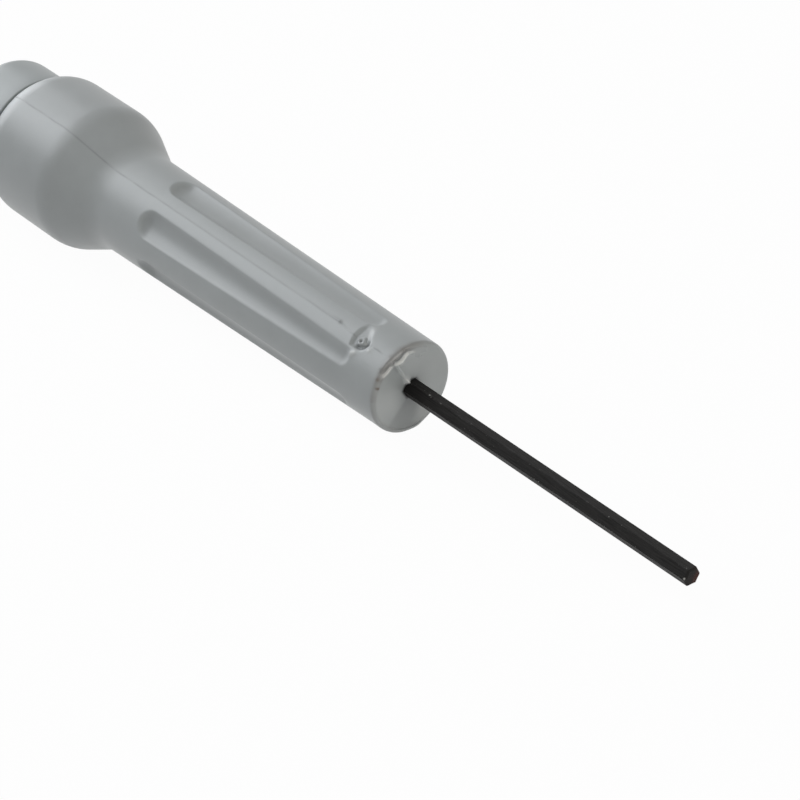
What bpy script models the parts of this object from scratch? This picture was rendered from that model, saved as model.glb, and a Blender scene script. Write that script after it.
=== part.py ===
"""Precision screwdriver with a fixed 2 mm hex blade and a free-turning end cap.

The tool lies along X with its blade tip at the origin and pointing to +X.
Each piece is drawn standing on the tool's own axis, as it would be on a lathe,
and the empty "tool_axis" lays the whole tool down.

On the tool's own axis, z = 0 is the blade tip and everything else is below it.
Angles round the axis are counted from the side that faces -Y towards the top (+Z).
All sizes are in metres.
"""

import math

import bmesh
import bpy
from mathutils import Matrix, Vector

# Blade: hex bar, with a pair of wings pressed out of it where the handle holds it
HEX_ACROSS_FLATS = 0.0020
BLADE_EXPOSED = 0.0450
BLADE_BURIED = 0.0240
TIP_CHAMFER = 0.00018
WING_LENGTH = 0.0060
WING_SPREAD = 0.00065
WING_SQUEEZE = 0.00035
WING_END_MARGIN = 0.0040
WING_CORNER_RADIUS = 0.0004

# Handle, measured back from its flat front face
GRIP_FRONT_RADIUS = 0.0056
GRIP_TAPER_DEG = 0.88
FRONT_RIM_RADIUS = 0.0005
SHOULDER_END = 0.0600
SHOULDER_ANGLE_DEG = 24.0
SHOULDER_CREST_RADIUS = 0.0060
SHOULDER_ROOT_RADIUS = 0.0080
BULB_RADIUS = 0.0093
BULB_LENGTH = 0.0085
BULB_REAR_RADIUS = 0.0045
BULB_REAR_TURN_DEG = 50.0

# Grip flutes, straight cuts of a ball-ended tool, so they deepen as the grip widens
FLUTE_COUNT = 6
FLUTE_FIRST_ANGLE_DEG = 30.0
FLUTE_START = 0.0053
FLUTE_SHOULDER_MARGIN = 0.0068
FLUTE_TOOL_RADIUS = 0.0030
FLUTE_FRONT_DEPTH = 0.00031

# Moulding gate: a round sunk spot with the sprue's stub, midway between two flutes
GATE_DISTANCE = 0.0055
GATE_SPOT_RADIUS = 0.00155
GATE_SPOT_DEPTH = 0.00040
GATE_STUB_ROOT_RADIUS = 0.00066
GATE_STUB_END_RADIUS = 0.00044
GATE_STUB_HEIGHT = 0.00030

# Pivot pin, pressed into the back of the handle
PIN_SHANK_RADIUS = 0.0014
PIN_SHANK_LENGTH = 0.0110
PIN_BARB_COUNT = 5
PIN_BARB_DEPTH = 0.00018
PIN_LEAD_LENGTH = 0.0010
PIN_SHOULDER_WIDTH = 0.0005
PIN_HEAD_OVERHANG = 0.0015
PIN_HEAD_THICKNESS = 0.0010
PIN_HEAD_CHAMFER = 0.0002

# Washers and flanged bush, each bored to run on the pin
THRUST_WASHER_WIDTH = 0.0030
THRUST_WASHER_THICKNESS = 0.0006
THRUST_RECESS_DEPTH = 0.00035
THRUST_RECESS_CLEARANCE = 0.0001
BUSH_WALL = 0.0009
BUSH_FLANGE_WIDTH = 0.0013
BUSH_FLANGE_THICKNESS = 0.0005
HEAD_WASHER_WIDTH = 0.0018
HEAD_WASHER_THICKNESS = 0.0003

# Swivel cap and the finger disc that closes its well
CAP_WEB_THICKNESS = 0.0025
CAP_WELL_CLEARANCE = 0.0005
CAP_HEAD_ROOM = 0.0020
CAP_LEDGE_WIDTH = 0.0008
CAP_RIM_WIDTH = 0.0022
CAP_END_EDGE_RADIUS = 0.0018
CAP_MOUTH_CHAMFER = 0.0003
DISC_THICKNESS = 0.0014
DISC_EDGE_CHAMFER = 0.00015
DISC_RIM_WIDTH = 0.0012
DISC_DISH_DEPTH = 0.0005

# Clearances
MOULD_GAP = 0.00005
PRESS_GAP = 0.00003
SEAT_GAP = 0.00005
RUNNING_GAP = 0.00006

# The largest share of a wall or ramp that the fillet beside it may take
EDGE_LIMIT = 0.9

# Facets round a turned piece, and degrees for each step along an arc
TURNED_SIDES = 60
SMALL_TURNED_SIDES = 36
ARC_STEP_DEG = 11.0

# Radii of what sits on the pin, from the middle outwards
PIN_JOURNAL_RADIUS = PIN_SHANK_RADIUS + PIN_SHOULDER_WIDTH
PIN_HEAD_RADIUS = PIN_JOURNAL_RADIUS + PIN_HEAD_OVERHANG
RUNNING_BORE_RADIUS = PIN_JOURNAL_RADIUS + RUNNING_GAP
THRUST_WASHER_RADIUS = RUNNING_BORE_RADIUS + THRUST_WASHER_WIDTH
HEAD_WASHER_RADIUS = RUNNING_BORE_RADIUS + HEAD_WASHER_WIDTH
BUSH_RADIUS = RUNNING_BORE_RADIUS + BUSH_WALL
BUSH_FLANGE_RADIUS = BUSH_RADIUS + BUSH_FLANGE_WIDTH
WELL_CONTENT_RADIUS = max(PIN_HEAD_RADIUS, HEAD_WASHER_RADIUS, BUSH_FLANGE_RADIUS)
CAP_WELL_RADIUS = WELL_CONTENT_RADIUS + CAP_WELL_CLEARANCE
DISC_RADIUS = CAP_WELL_RADIUS + CAP_LEDGE_WIDTH
CAP_RADIUS = DISC_RADIUS + PRESS_GAP + CAP_RIM_WIDTH

# Places along the tool's own axis, from the blade to the cap's end
FACE_Z = -BLADE_EXPOSED
BLADE_END_Z = FACE_Z - BLADE_BURIED
BULB_START_Z = FACE_Z - SHOULDER_END
BULB_END_Z = BULB_START_Z - BULB_LENGTH
BULB_REAR_TURN = math.radians(BULB_REAR_TURN_DEG)
HANDLE_REAR_Z = BULB_END_Z - BULB_REAR_RADIUS * math.sin(BULB_REAR_TURN)
RECESS_FLOOR_Z = HANDLE_REAR_Z + THRUST_RECESS_DEPTH
THRUST_WASHER_Z = RECESS_FLOOR_Z - SEAT_GAP
CAP_MOUTH_Z = THRUST_WASHER_Z - THRUST_WASHER_THICKNESS - SEAT_GAP
CAP_WEB_Z = CAP_MOUTH_Z - CAP_WEB_THICKNESS
BUSH_FLANGE_Z = CAP_WEB_Z - SEAT_GAP
HEAD_WASHER_Z = BUSH_FLANGE_Z - BUSH_FLANGE_THICKNESS - SEAT_GAP
PIN_HEAD_Z = HEAD_WASHER_Z - HEAD_WASHER_THICKNESS - SEAT_GAP
PIN_END_Z = PIN_HEAD_Z - PIN_HEAD_THICKNESS
DISC_SEAT_Z = PIN_END_Z - CAP_HEAD_ROOM
CAP_END_Z = DISC_SEAT_Z - SEAT_GAP - DISC_THICKNESS

GRIP_TAPER = math.radians(GRIP_TAPER_DEG)
SHOULDER_ANGLE = math.radians(SHOULDER_ANGLE_DEG)

# Colour (sRGB), roughness and metallic value of each piece
FINISHES = {
    "hex_blade": ((0.20, 0.20, 0.21), 0.45, 1.0),
    "handle_grip": ((0.63, 0.65, 0.67), 0.50, 0.0),
    "pivot_pin": ((0.70, 0.70, 0.72), 0.35, 1.0),
    "thrust_washer": ((0.90, 0.89, 0.85), 0.55, 0.0),
    "cap_bush": ((0.80, 0.66, 0.36), 0.35, 1.0),
    "head_washer": ((0.74, 0.74, 0.75), 0.30, 1.0),
    "swivel_cap": ((0.60, 0.62, 0.64), 0.50, 0.0),
    "finger_disc": ((0.32, 0.33, 0.35), 0.55, 0.0),
}
SHARP_EDGE_DEG = 30.0


def srgb_to_linear(value):
    """Return the linear value of one sRGB channel."""
    if value <= 0.04045:
        return value / 12.92
    return ((value + 0.055) / 1.055) ** 2.4


def clear_scene():
    """Remove every object that the file opened with."""
    for obj in list(bpy.data.objects):
        bpy.data.objects.remove(obj, do_unlink=True)


def new_collection(name):
    """Make a collection under the scene."""
    collection = bpy.data.collections.new(name)
    bpy.context.scene.collection.children.link(collection)
    return collection


def new_empty(name, collection, parent=None):
    """Make an empty that other objects hang on."""
    empty = bpy.data.objects.new(name, None)
    empty.empty_display_size = BULB_RADIUS
    collection.objects.link(empty)
    empty.parent = parent
    return empty


class Bench:
    """Where objects go: a collection, and the empty that they hang on."""

    def __init__(self, collection, parent):
        self.collection = collection
        self.parent = parent

    def add(self, name, mesh):
        """Put a mesh in the scene as a named object."""
        obj = bpy.data.objects.new(name, mesh)
        self.collection.objects.link(obj)
        obj.parent = self.parent
        return obj


def arc(centre, radius, start_deg, end_deg):
    """Return the points (r, z) of an arc, both ends included.

    Angles run from the outward direction towards the blade's tip.
    """
    steps = max(2, math.ceil(abs(end_deg - start_deg) / ARC_STEP_DEG))
    points = []
    for i in range(steps + 1):
        angle = math.radians(start_deg + (end_deg - start_deg) * i / steps)
        points.append((centre[0] + radius * math.cos(angle), centre[1] + radius * math.sin(angle)))
    return points


def turned(name, profile, bench, sides=TURNED_SIDES, ring=False):
    """Turn a profile of (r, z) points about the tool's axis.

    The profile runs down the outer side. A ring's profile closes on itself,
    and any other profile starts and ends on the axis.
    """
    mesh = bpy.data.meshes.new(name)
    edges = [(i, i + 1) for i in range(len(profile) - 1)]
    if ring:
        edges.append((len(profile) - 1, 0))
    mesh.from_pydata([(r, 0.0, z) for r, z in profile], edges, [])
    obj = bench.add(name, mesh)
    screw = obj.modifiers.new("Turn", "SCREW")
    screw.axis = "Z"
    screw.angle = math.tau
    screw.steps = sides
    screw.render_steps = sides
    screw.use_merge_vertices = True
    screw.merge_threshold = 0.000001
    return obj


def combine(target, other, operation):
    """Cut another object out of the target, or join it on."""
    modifier = target.modifiers.new(other.name, "BOOLEAN")
    modifier.operation = operation
    modifier.object = other
    other.hide_render = True
    other.display_type = "WIRE"


def round_direction(angle_deg):
    """Return the direction that points out of the axis at an angle round it."""
    angle = math.radians(angle_deg)
    return Vector((-math.sin(angle), -math.cos(angle), 0.0))


def hex_bar(name, across_flats, top_z, bottom_z, chamfer, bench):
    """Make a hexagonal bar, with two of its flats facing up and down once it lies."""
    shape = bmesh.new()
    corner_radius = across_flats / math.sqrt(3.0)
    middle = Matrix.Translation((0.0, 0.0, (top_z + bottom_z) / 2.0))
    bmesh.ops.create_cone(
        shape,
        cap_ends=True,
        segments=6,
        radius1=corner_radius,
        radius2=corner_radius,
        depth=top_z - bottom_z,
        matrix=middle,
    )
    if chamfer > 0.0:
        middle_z = (top_z + bottom_z) / 2.0
        tip_edges = [edge for edge in shape.edges if all(vert.co.z > middle_z for vert in edge.verts)]
        bmesh.ops.bevel(shape, geom=tip_edges, offset=chamfer, segments=1, affect="EDGES")
    mesh = bpy.data.meshes.new(name)
    shape.to_mesh(mesh)
    shape.free()
    return bench.add(name, mesh)


def rounded_box(name, size, centre_z, corner_radius, bench):
    """Make a box with rounded edges, centred on the axis."""
    shape = bmesh.new()
    place = Matrix.Translation((0.0, 0.0, centre_z)) @ Matrix.Diagonal((*size, 1.0))
    bmesh.ops.create_cube(shape, size=1.0, matrix=place)
    edges = list(shape.edges)
    bmesh.ops.bevel(shape, geom=edges, offset=corner_radius, segments=3, profile=0.5, affect="EDGES")
    mesh = bpy.data.meshes.new(name)
    shape.to_mesh(mesh)
    shape.free()
    return bench.add(name, mesh)


def radial_plug(name, radius_low, radius_high, low, high, distance, angle_deg, bench):
    """Make a round plug that points out of the axis, from radius low to radius high."""
    direction = round_direction(angle_deg)
    middle = direction * (low + high) / 2.0 + Vector((0.0, 0.0, FACE_Z - distance))
    place = Matrix.Translation(middle) @ direction.to_track_quat("Z", "Y").to_matrix().to_4x4()
    shape = bmesh.new()
    bmesh.ops.create_cone(
        shape,
        cap_ends=True,
        segments=SMALL_TURNED_SIDES,
        radius1=radius_low,
        radius2=radius_high,
        depth=high - low,
        matrix=place,
    )
    mesh = bpy.data.meshes.new(name)
    shape.to_mesh(mesh)
    shape.free()
    return bench.add(name, mesh)


def blade_shapes(name, clearance, top_z, tip_chamfer, bench):
    """Make the blade's bar and its wings or, with a clearance, the pocket for them."""
    across_flats = HEX_ACROSS_FLATS + 2.0 * clearance
    bar = hex_bar(name + "_bar", across_flats, top_z, BLADE_END_Z - clearance, tip_chamfer, bench)
    thickness = HEX_ACROSS_FLATS - 2.0 * WING_SQUEEZE
    span = 2.0 * HEX_ACROSS_FLATS / math.sqrt(3.0) + 2.0 * WING_SPREAD
    corner = min(WING_CORNER_RADIUS, EDGE_LIMIT * thickness / 2.0)
    size = [value + 2.0 * clearance for value in (thickness, span, WING_LENGTH)]
    centre_z = BLADE_END_Z + WING_END_MARGIN + WING_LENGTH / 2.0
    wings = rounded_box(name + "_wings", size, centre_z, corner + clearance, bench)
    return bar, wings


def make_blade(bench, cutters):
    """Make the hex blade, tip chamfered, with its wings."""
    bar, wings = blade_shapes("blade", 0.0, 0.0, TIP_CHAMFER, cutters)
    blade = bench.add("hex_blade", bar.data.copy())
    bpy.data.objects.remove(bar)
    combine(blade, wings, "UNION")
    return blade


def grip_radius(distance):
    """Return the grip's radius at a distance behind its front face."""
    return GRIP_FRONT_RADIUS + (distance - FRONT_RIM_RADIUS) * math.tan(GRIP_TAPER)


def shoulder():
    """Work out where the grip flares into the bulb.

    Returns the profile points from the flare's root to the bulb's full radius.
    Both fillets are limited by the height of the flare.
    """
    rise = BULB_RADIUS - grip_radius(SHOULDER_END)
    crest = min(SHOULDER_CREST_RADIUS, 0.5 * rise / (1.0 - math.cos(SHOULDER_ANGLE)))
    crest_radius = BULB_RADIUS - crest * (1.0 - math.cos(SHOULDER_ANGLE))
    crest_distance = SHOULDER_END - crest * math.sin(SHOULDER_ANGLE)
    slope = math.tan(SHOULDER_ANGLE)
    drop = crest_radius - grip_radius(crest_distance)
    corner_distance = crest_distance - drop / (slope - math.tan(GRIP_TAPER))
    ramp_length = (crest_distance - corner_distance) / math.cos(SHOULDER_ANGLE)
    half_turn = math.tan((SHOULDER_ANGLE - GRIP_TAPER) / 2.0)
    root = min(SHOULDER_ROOT_RADIUS, EDGE_LIMIT * ramp_length / half_turn)
    root_distance = corner_distance - root * half_turn * math.cos(GRIP_TAPER)
    root_centre = (
        grip_radius(root_distance) + root * math.cos(GRIP_TAPER),
        FACE_Z - root_distance + root * math.sin(GRIP_TAPER),
    )
    points = arc(root_centre, root, 180.0 + GRIP_TAPER_DEG, 180.0 + SHOULDER_ANGLE_DEG)
    points += arc((BULB_RADIUS - crest, BULB_START_Z), crest, SHOULDER_ANGLE_DEG, 0.0)
    return points


def handle_profile():
    """Return the handle's turned profile, with the bore and recess at its back."""
    rim_centre = (GRIP_FRONT_RADIUS - FRONT_RIM_RADIUS, FACE_Z - FRONT_RIM_RADIUS)
    bore_radius = PIN_SHANK_RADIUS + PRESS_GAP
    bore_end_z = RECESS_FLOOR_Z + PIN_SHANK_LENGTH + SEAT_GAP
    recess_radius = THRUST_WASHER_RADIUS + THRUST_RECESS_CLEARANCE
    profile = [(0.0, FACE_Z)]
    profile += arc(rim_centre, FRONT_RIM_RADIUS, 90.0, GRIP_TAPER_DEG)
    profile += shoulder()
    profile += arc((BULB_RADIUS - BULB_REAR_RADIUS, BULB_END_Z), BULB_REAR_RADIUS, 0.0, -BULB_REAR_TURN_DEG)
    profile += [
        (recess_radius, HANDLE_REAR_Z),
        (recess_radius, RECESS_FLOOR_Z),
        (bore_radius, RECESS_FLOOR_Z),
        (bore_radius, bore_end_z),
        (0.0, bore_end_z),
    ]
    return profile


def cut_flutes(handle, cutters):
    """Cut the straight flutes, evenly spaced round the grip."""
    end = FACE_Z - shoulder()[0][1] - FLUTE_SHOULDER_MARGIN
    floor_radius = grip_radius(FLUTE_START) - FLUTE_FRONT_DEPTH
    axis_radius = floor_radius + FLUTE_TOOL_RADIUS
    ball_reach = []
    for distance in (FLUTE_START, end):
        height = axis_radius - grip_radius(distance)
        ball_reach.append(math.sqrt(FLUTE_TOOL_RADIUS**2 - height**2))
    first_ball = (0.0, FACE_Z - FLUTE_START - ball_reach[0])
    last_ball = (0.0, FACE_Z - end + ball_reach[1])
    profile = arc(first_ball, FLUTE_TOOL_RADIUS, 90.0, 0.0) + arc(last_ball, FLUTE_TOOL_RADIUS, 0.0, -90.0)
    for i in range(FLUTE_COUNT):
        flute = turned(f"flute_{i + 1}", profile, cutters, sides=TURNED_SIDES)
        flute.location = round_direction(FLUTE_FIRST_ANGLE_DEG + 360.0 * i / FLUTE_COUNT) * axis_radius
        combine(handle, flute, "DIFFERENCE")


def mark_gate(handle, cutters):
    """Sink the gate's round spot between two flutes, and leave the sprue's stub in it."""
    angle_deg = FLUTE_FIRST_ANGLE_DEG + 180.0 / FLUTE_COUNT
    surface = grip_radius(GATE_DISTANCE)
    floor = surface - GATE_SPOT_DEPTH
    above = surface + GATE_SPOT_RADIUS
    spot = radial_plug(
        "gate_spot", GATE_SPOT_RADIUS, GATE_SPOT_RADIUS, floor, above, GATE_DISTANCE, angle_deg, cutters
    )
    combine(handle, spot, "DIFFERENCE")
    root = floor - GATE_STUB_HEIGHT
    stub = radial_plug(
        "gate_stub",
        GATE_STUB_ROOT_RADIUS,
        GATE_STUB_END_RADIUS,
        root,
        floor + GATE_STUB_HEIGHT,
        GATE_DISTANCE,
        angle_deg,
        cutters,
    )
    combine(handle, stub, "UNION")


def make_handle(bench, cutters):
    """Make the one-piece moulded handle, moulded round the blade's buried end."""
    handle = turned("handle_grip", handle_profile(), bench)
    cut_flutes(handle, cutters)
    pocket_top = FACE_Z + GRIP_FRONT_RADIUS
    for pocket in blade_shapes("pocket", MOULD_GAP, pocket_top, 0.0, cutters):
        combine(handle, pocket, "DIFFERENCE")
    mark_gate(handle, cutters)
    return handle


def make_pivot_pin(bench):
    """Make the headed pin: barbed shank, plain journal and a flat head."""
    shank_top = RECESS_FLOOR_Z + PIN_SHANK_LENGTH
    barb_root = PIN_SHANK_RADIUS - PIN_BARB_DEPTH
    barbs_top = shank_top - PIN_LEAD_LENGTH
    barb_length = (PIN_SHANK_LENGTH - PIN_LEAD_LENGTH) / (PIN_BARB_COUNT + 1)
    journal_top = RECESS_FLOOR_Z - SEAT_GAP
    profile = [(0.0, shank_top), (barb_root, shank_top)]
    for i in range(PIN_BARB_COUNT):
        barb_bottom = barbs_top - barb_length * i
        profile += [(PIN_SHANK_RADIUS, barb_bottom), (barb_root, barb_bottom)]
    profile += [
        (PIN_SHANK_RADIUS, barbs_top - barb_length * PIN_BARB_COUNT),
        (PIN_SHANK_RADIUS, journal_top),
        (PIN_JOURNAL_RADIUS, journal_top),
        (PIN_JOURNAL_RADIUS, PIN_HEAD_Z),
        (PIN_HEAD_RADIUS, PIN_HEAD_Z),
        (PIN_HEAD_RADIUS, PIN_END_Z + PIN_HEAD_CHAMFER),
        (PIN_HEAD_RADIUS - PIN_HEAD_CHAMFER, PIN_END_Z),
        (0.0, PIN_END_Z),
    ]
    return turned("pivot_pin", profile, bench, sides=SMALL_TURNED_SIDES)


def make_washer(name, radius, top_z, thickness, bench):
    """Make a flat washer that runs on the pin."""
    profile = [
        (RUNNING_BORE_RADIUS, top_z),
        (radius, top_z),
        (radius, top_z - thickness),
        (RUNNING_BORE_RADIUS, top_z - thickness),
    ]
    return turned(name, profile, bench, sides=SMALL_TURNED_SIDES, ring=True)


def make_bush(bench):
    """Make the flanged bush that is pressed into the cap from its well."""
    flange_bottom = BUSH_FLANGE_Z - BUSH_FLANGE_THICKNESS
    profile = [
        (RUNNING_BORE_RADIUS, CAP_MOUTH_Z),
        (BUSH_RADIUS, CAP_MOUTH_Z),
        (BUSH_RADIUS, BUSH_FLANGE_Z),
        (BUSH_FLANGE_RADIUS, BUSH_FLANGE_Z),
        (BUSH_FLANGE_RADIUS, flange_bottom),
        (RUNNING_BORE_RADIUS, flange_bottom),
    ]
    return turned("cap_bush", profile, bench, sides=SMALL_TURNED_SIDES, ring=True)


def make_cap(bench):
    """Make the swivel cap: a web bored for the bush, and a well behind it."""
    bore_radius = BUSH_RADIUS + PRESS_GAP
    disc_pocket_radius = DISC_RADIUS + PRESS_GAP
    edge_radius = min(CAP_END_EDGE_RADIUS, EDGE_LIMIT * CAP_RIM_WIDTH)
    profile = [
        (bore_radius, CAP_MOUTH_Z),
        (CAP_RADIUS - CAP_MOUTH_CHAMFER, CAP_MOUTH_Z),
        (CAP_RADIUS, CAP_MOUTH_Z - CAP_MOUTH_CHAMFER),
    ]
    profile += arc((CAP_RADIUS - edge_radius, CAP_END_Z + edge_radius), edge_radius, 0.0, -90.0)
    profile += [
        (disc_pocket_radius, CAP_END_Z),
        (disc_pocket_radius, DISC_SEAT_Z),
        (CAP_WELL_RADIUS, DISC_SEAT_Z),
        (CAP_WELL_RADIUS, CAP_WEB_Z),
        (bore_radius, CAP_WEB_Z),
    ]
    return turned("swivel_cap", profile, bench, ring=True)


def make_disc(bench):
    """Make the finger disc, dished for a fingertip, flush with the cap's end."""
    top_z = DISC_SEAT_Z - SEAT_GAP
    chamfer = DISC_EDGE_CHAMFER
    dish_edge = DISC_RADIUS - DISC_RIM_WIDTH
    dish_radius = (dish_edge**2 + DISC_DISH_DEPTH**2) / (2.0 * DISC_DISH_DEPTH)
    half_angle_deg = math.degrees(math.asin(dish_edge / dish_radius))
    steps = max(4, math.ceil(half_angle_deg / ARC_STEP_DEG))
    profile = [
        (0.0, top_z),
        (DISC_RADIUS - chamfer, top_z),
        (DISC_RADIUS, top_z - chamfer),
        (DISC_RADIUS, CAP_END_Z + chamfer),
        (DISC_RADIUS - chamfer, CAP_END_Z),
    ]
    for i in range(steps + 1):
        radius = dish_edge * (1.0 - i / steps)
        sunk = math.sqrt(dish_radius**2 - radius**2) - (dish_radius - DISC_DISH_DEPTH)
        profile.append((radius, CAP_END_Z + sunk))
    return turned("finger_disc", profile, bench)


def settle(obj):
    """Give a piece its finished mesh, its material and its smooth shading."""
    evaluated = obj.evaluated_get(bpy.context.evaluated_depsgraph_get())
    mesh = bpy.data.meshes.new_from_object(evaluated)
    obj.modifiers.clear()
    obj.data = mesh
    mesh.name = obj.name
    mesh.materials.clear()
    colour, roughness, metallic = FINISHES[obj.name]
    material = bpy.data.materials.new(obj.name)
    material.use_nodes = True
    shader = material.node_tree.nodes["Principled BSDF"]
    linear = [srgb_to_linear(channel) for channel in colour]
    shader.inputs["Base Color"].default_value = (*linear, 1.0)
    shader.inputs["Roughness"].default_value = roughness
    shader.inputs["Metallic"].default_value = metallic
    mesh.materials.append(material)
    mesh.shade_smooth()
    mesh.set_sharp_from_angle(angle=math.radians(SHARP_EDGE_DEG))


def main():
    """Build the whole tool."""
    clear_scene()
    pieces = new_collection("precision_screwdriver")
    shaping = new_collection("cutters")
    tool_axis = new_empty("tool_axis", pieces)
    tool_axis.rotation_euler = (0.0, math.radians(90.0), 0.0)
    cap_axis = new_empty("cap_axis", pieces, tool_axis)
    fixed = Bench(pieces, tool_axis)
    spinning = Bench(pieces, cap_axis)
    cutters = Bench(shaping, tool_axis)

    built = [
        make_blade(fixed, cutters),
        make_handle(fixed, cutters),
        make_pivot_pin(fixed),
        make_washer("thrust_washer", THRUST_WASHER_RADIUS, THRUST_WASHER_Z, THRUST_WASHER_THICKNESS, fixed),
        make_washer("head_washer", HEAD_WASHER_RADIUS, HEAD_WASHER_Z, HEAD_WASHER_THICKNESS, fixed),
        make_bush(spinning),
        make_cap(spinning),
        make_disc(spinning),
    ]
    bpy.context.view_layer.update()
    for obj in built:
        settle(obj)


if __name__ == "__main__":
    main()
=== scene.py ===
"""Looks of a precision screwdriver with a fixed hex blade and a free-turning end cap.

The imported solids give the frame: the tool lies along X, its blade tip at the origin.
The handle, the blade, the cap and the finger disc are made again as fine meshes.
The pin, bush and washers keep their solids and get their finishes here.

Distances along the tool are counted back from the handle's flat front face.
Angles round it are counted from the side that faces -Y towards the top (+Z).
All lengths are in metres, and all angles in degrees unless a name says otherwise.
"""
import logging
import math
from dataclasses import dataclass, field
from enum import Enum
from typing import Any

import bpy
from bpy.types import Material, Node, NodeSocket, NodeTree, Object
from mathutils import Matrix, Vector, noise


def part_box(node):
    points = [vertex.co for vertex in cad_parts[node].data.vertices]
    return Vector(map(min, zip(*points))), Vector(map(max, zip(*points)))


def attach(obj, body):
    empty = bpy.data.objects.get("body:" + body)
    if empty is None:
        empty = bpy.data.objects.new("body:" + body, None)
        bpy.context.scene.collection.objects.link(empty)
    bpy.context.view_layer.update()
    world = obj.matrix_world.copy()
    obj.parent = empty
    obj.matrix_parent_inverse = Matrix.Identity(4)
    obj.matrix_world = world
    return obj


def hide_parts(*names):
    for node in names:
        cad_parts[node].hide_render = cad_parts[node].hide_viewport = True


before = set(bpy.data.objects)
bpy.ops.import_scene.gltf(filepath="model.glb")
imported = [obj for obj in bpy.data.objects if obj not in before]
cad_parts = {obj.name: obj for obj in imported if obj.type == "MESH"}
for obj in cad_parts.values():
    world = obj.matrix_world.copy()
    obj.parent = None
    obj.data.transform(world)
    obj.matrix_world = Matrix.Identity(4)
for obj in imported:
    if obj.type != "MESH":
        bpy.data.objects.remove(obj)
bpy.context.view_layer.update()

LOG = logging.getLogger("precision_screwdriver")
MM = 0.001
BODY_HANDLE = "handle"
BODY_CAP = "cap"
# The span that most of a noise texture's values lie in, as Map Range inputs
NOISE_SPAN = {"From Min": 0.3, "From Max": 0.7}


def srgb(hex_colour: str) -> tuple[float, float, float, float]:
    """Turn an sRGB hex colour into linear RGBA.

    Args:
        hex_colour: six hex digits after a #.

    Returns:
        The linear colour with an alpha of 1.
    """
    channels = []
    for i in (1, 3, 5):
        value = int(hex_colour[i:i + 2], 16) / 255.0
        channels.append(value / 12.92 if value <= 0.04045 else ((value + 0.055) / 1.055) ** 2.4)
    return (channels[0], channels[1], channels[2], 1.0)


def fill(tree: NodeTree, node: Node, inputs: dict[str | int, Any]) -> None:
    """Set or link a node's inputs.

    Args:
        tree: the tree that holds the node.
        node: the node.
        inputs: a value, or another node's output socket, for each input.
    """
    for key, value in inputs.items():
        if isinstance(value, NodeSocket):
            tree.links.new(value, node.inputs[key])
        else:
            node.inputs[key].default_value = value


def add_node(
    tree: NodeTree,
    kind: str,
    settings: dict[str, Any] | None = None,
    inputs: dict[str | int, Any] | None = None,
) -> Node:
    """Add a node, set its properties and fill or link its inputs.

    Args:
        tree: the node tree that gets the node.
        kind: the node's type name.
        settings: properties of the node itself.
        inputs: a value, or another node's output socket, for each input.

    Returns:
        The new node.
    """
    node = tree.nodes.new(kind)
    for name, value in (settings or {}).items():
        setattr(node, name, value)
    fill(tree, node, inputs or {})
    return node


def smooth_step(low: float, high: float, value: float) -> float:
    """Return 0 below low, 1 above high, and an even ease between them."""
    t = min(1.0, max(0.0, (value - low) / (high - low)))
    return t * t * (3.0 - 2.0 * t)


def swell(offset: float, half_width: float) -> float:
    """Return a soft bump, 1 at an offset of 0 and near 0 past its half width."""
    return math.exp(-((offset / half_width) ** 2))


def wrap(angle: float) -> float:
    """Return an angle brought to between -180 and 180 degrees."""
    return (angle + 180.0) % 360.0 - 180.0


def wander(place: float, period: float, seed: float) -> float:
    """Return a smooth value between about -1 and 1 that wanders along a line.

    Args:
        place: distance along the line.
        period: length of one wave.
        seed: which wandering line it is.

    Returns:
        The value at that place.
    """
    return noise.noise(Vector((place / period, seed, 0.37 * seed)))


def between(points: tuple[tuple[float, float, float], ...], place: float) -> tuple[float, float]:
    """Return the two values that a line through points has at a place.

    Args:
        points: each point's place and its two values, in order of place.
        place: where the values are wanted.

    Returns:
        The values there, or those of the nearest end.
    """
    if place <= points[0][0]:
        return points[0][1:]
    for (start, *first), (end, *second) in zip(points, points[1:]):
        if place <= end:
            share = (place - start) / (end - start)
            return first[0] + share * (second[0] - first[0]), first[1] + share * (second[1] - first[1])
    return points[-1][1:]


def stations(stretches: list[tuple[float, float, float]]) -> list[float]:
    """Return evenly spaced values along joined stretches.

    Args:
        stretches: the start, end and wanted step of each stretch.

    Returns:
        The values in order, without doubles.
    """
    values: list[float] = []
    for start, end, step in stretches:
        count = max(1, round(abs(end - start) / step))
        values += [start + (end - start) * i / count for i in range(count)]
    values.append(stretches[-1][1])
    return values


def arc(
    centre: tuple[float, float], radius: float, start: float, end: float, step: float
) -> list[tuple[float, float]]:
    """Return the points (distance, radius) of an arc in the tool's section.

    Args:
        centre: distance and radius of the arc's centre.
        radius: the arc's radius.
        start: first angle, counted from the outward direction towards the tip.
        end: last angle.
        step: the largest turn between two points.

    Returns:
        The points, both ends included.
    """
    count = max(2, math.ceil(abs(end - start) / step))
    points = []
    for i in range(count + 1):
        angle = math.radians(start + (end - start) * i / count)
        points.append((centre[0] - radius * math.sin(angle), centre[1] + radius * math.cos(angle)))
    return points


def new_mesh_object(name: str, points: list[Vector], faces: list[tuple[int, ...]]) -> Object:
    """Put a smooth-shaded mesh in the scene.

    Args:
        name: the object's name.
        points: its corners in the tool's frame.
        faces: its faces, pointing out.

    Returns:
        The new object, at the origin.
    """
    mesh = bpy.data.meshes.new(name)
    mesh.from_pydata(points, [], faces)
    mesh.update()
    mesh.shade_smooth()
    obj = bpy.data.objects.new(name, mesh)
    bpy.context.scene.collection.objects.link(obj)
    return obj


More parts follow.
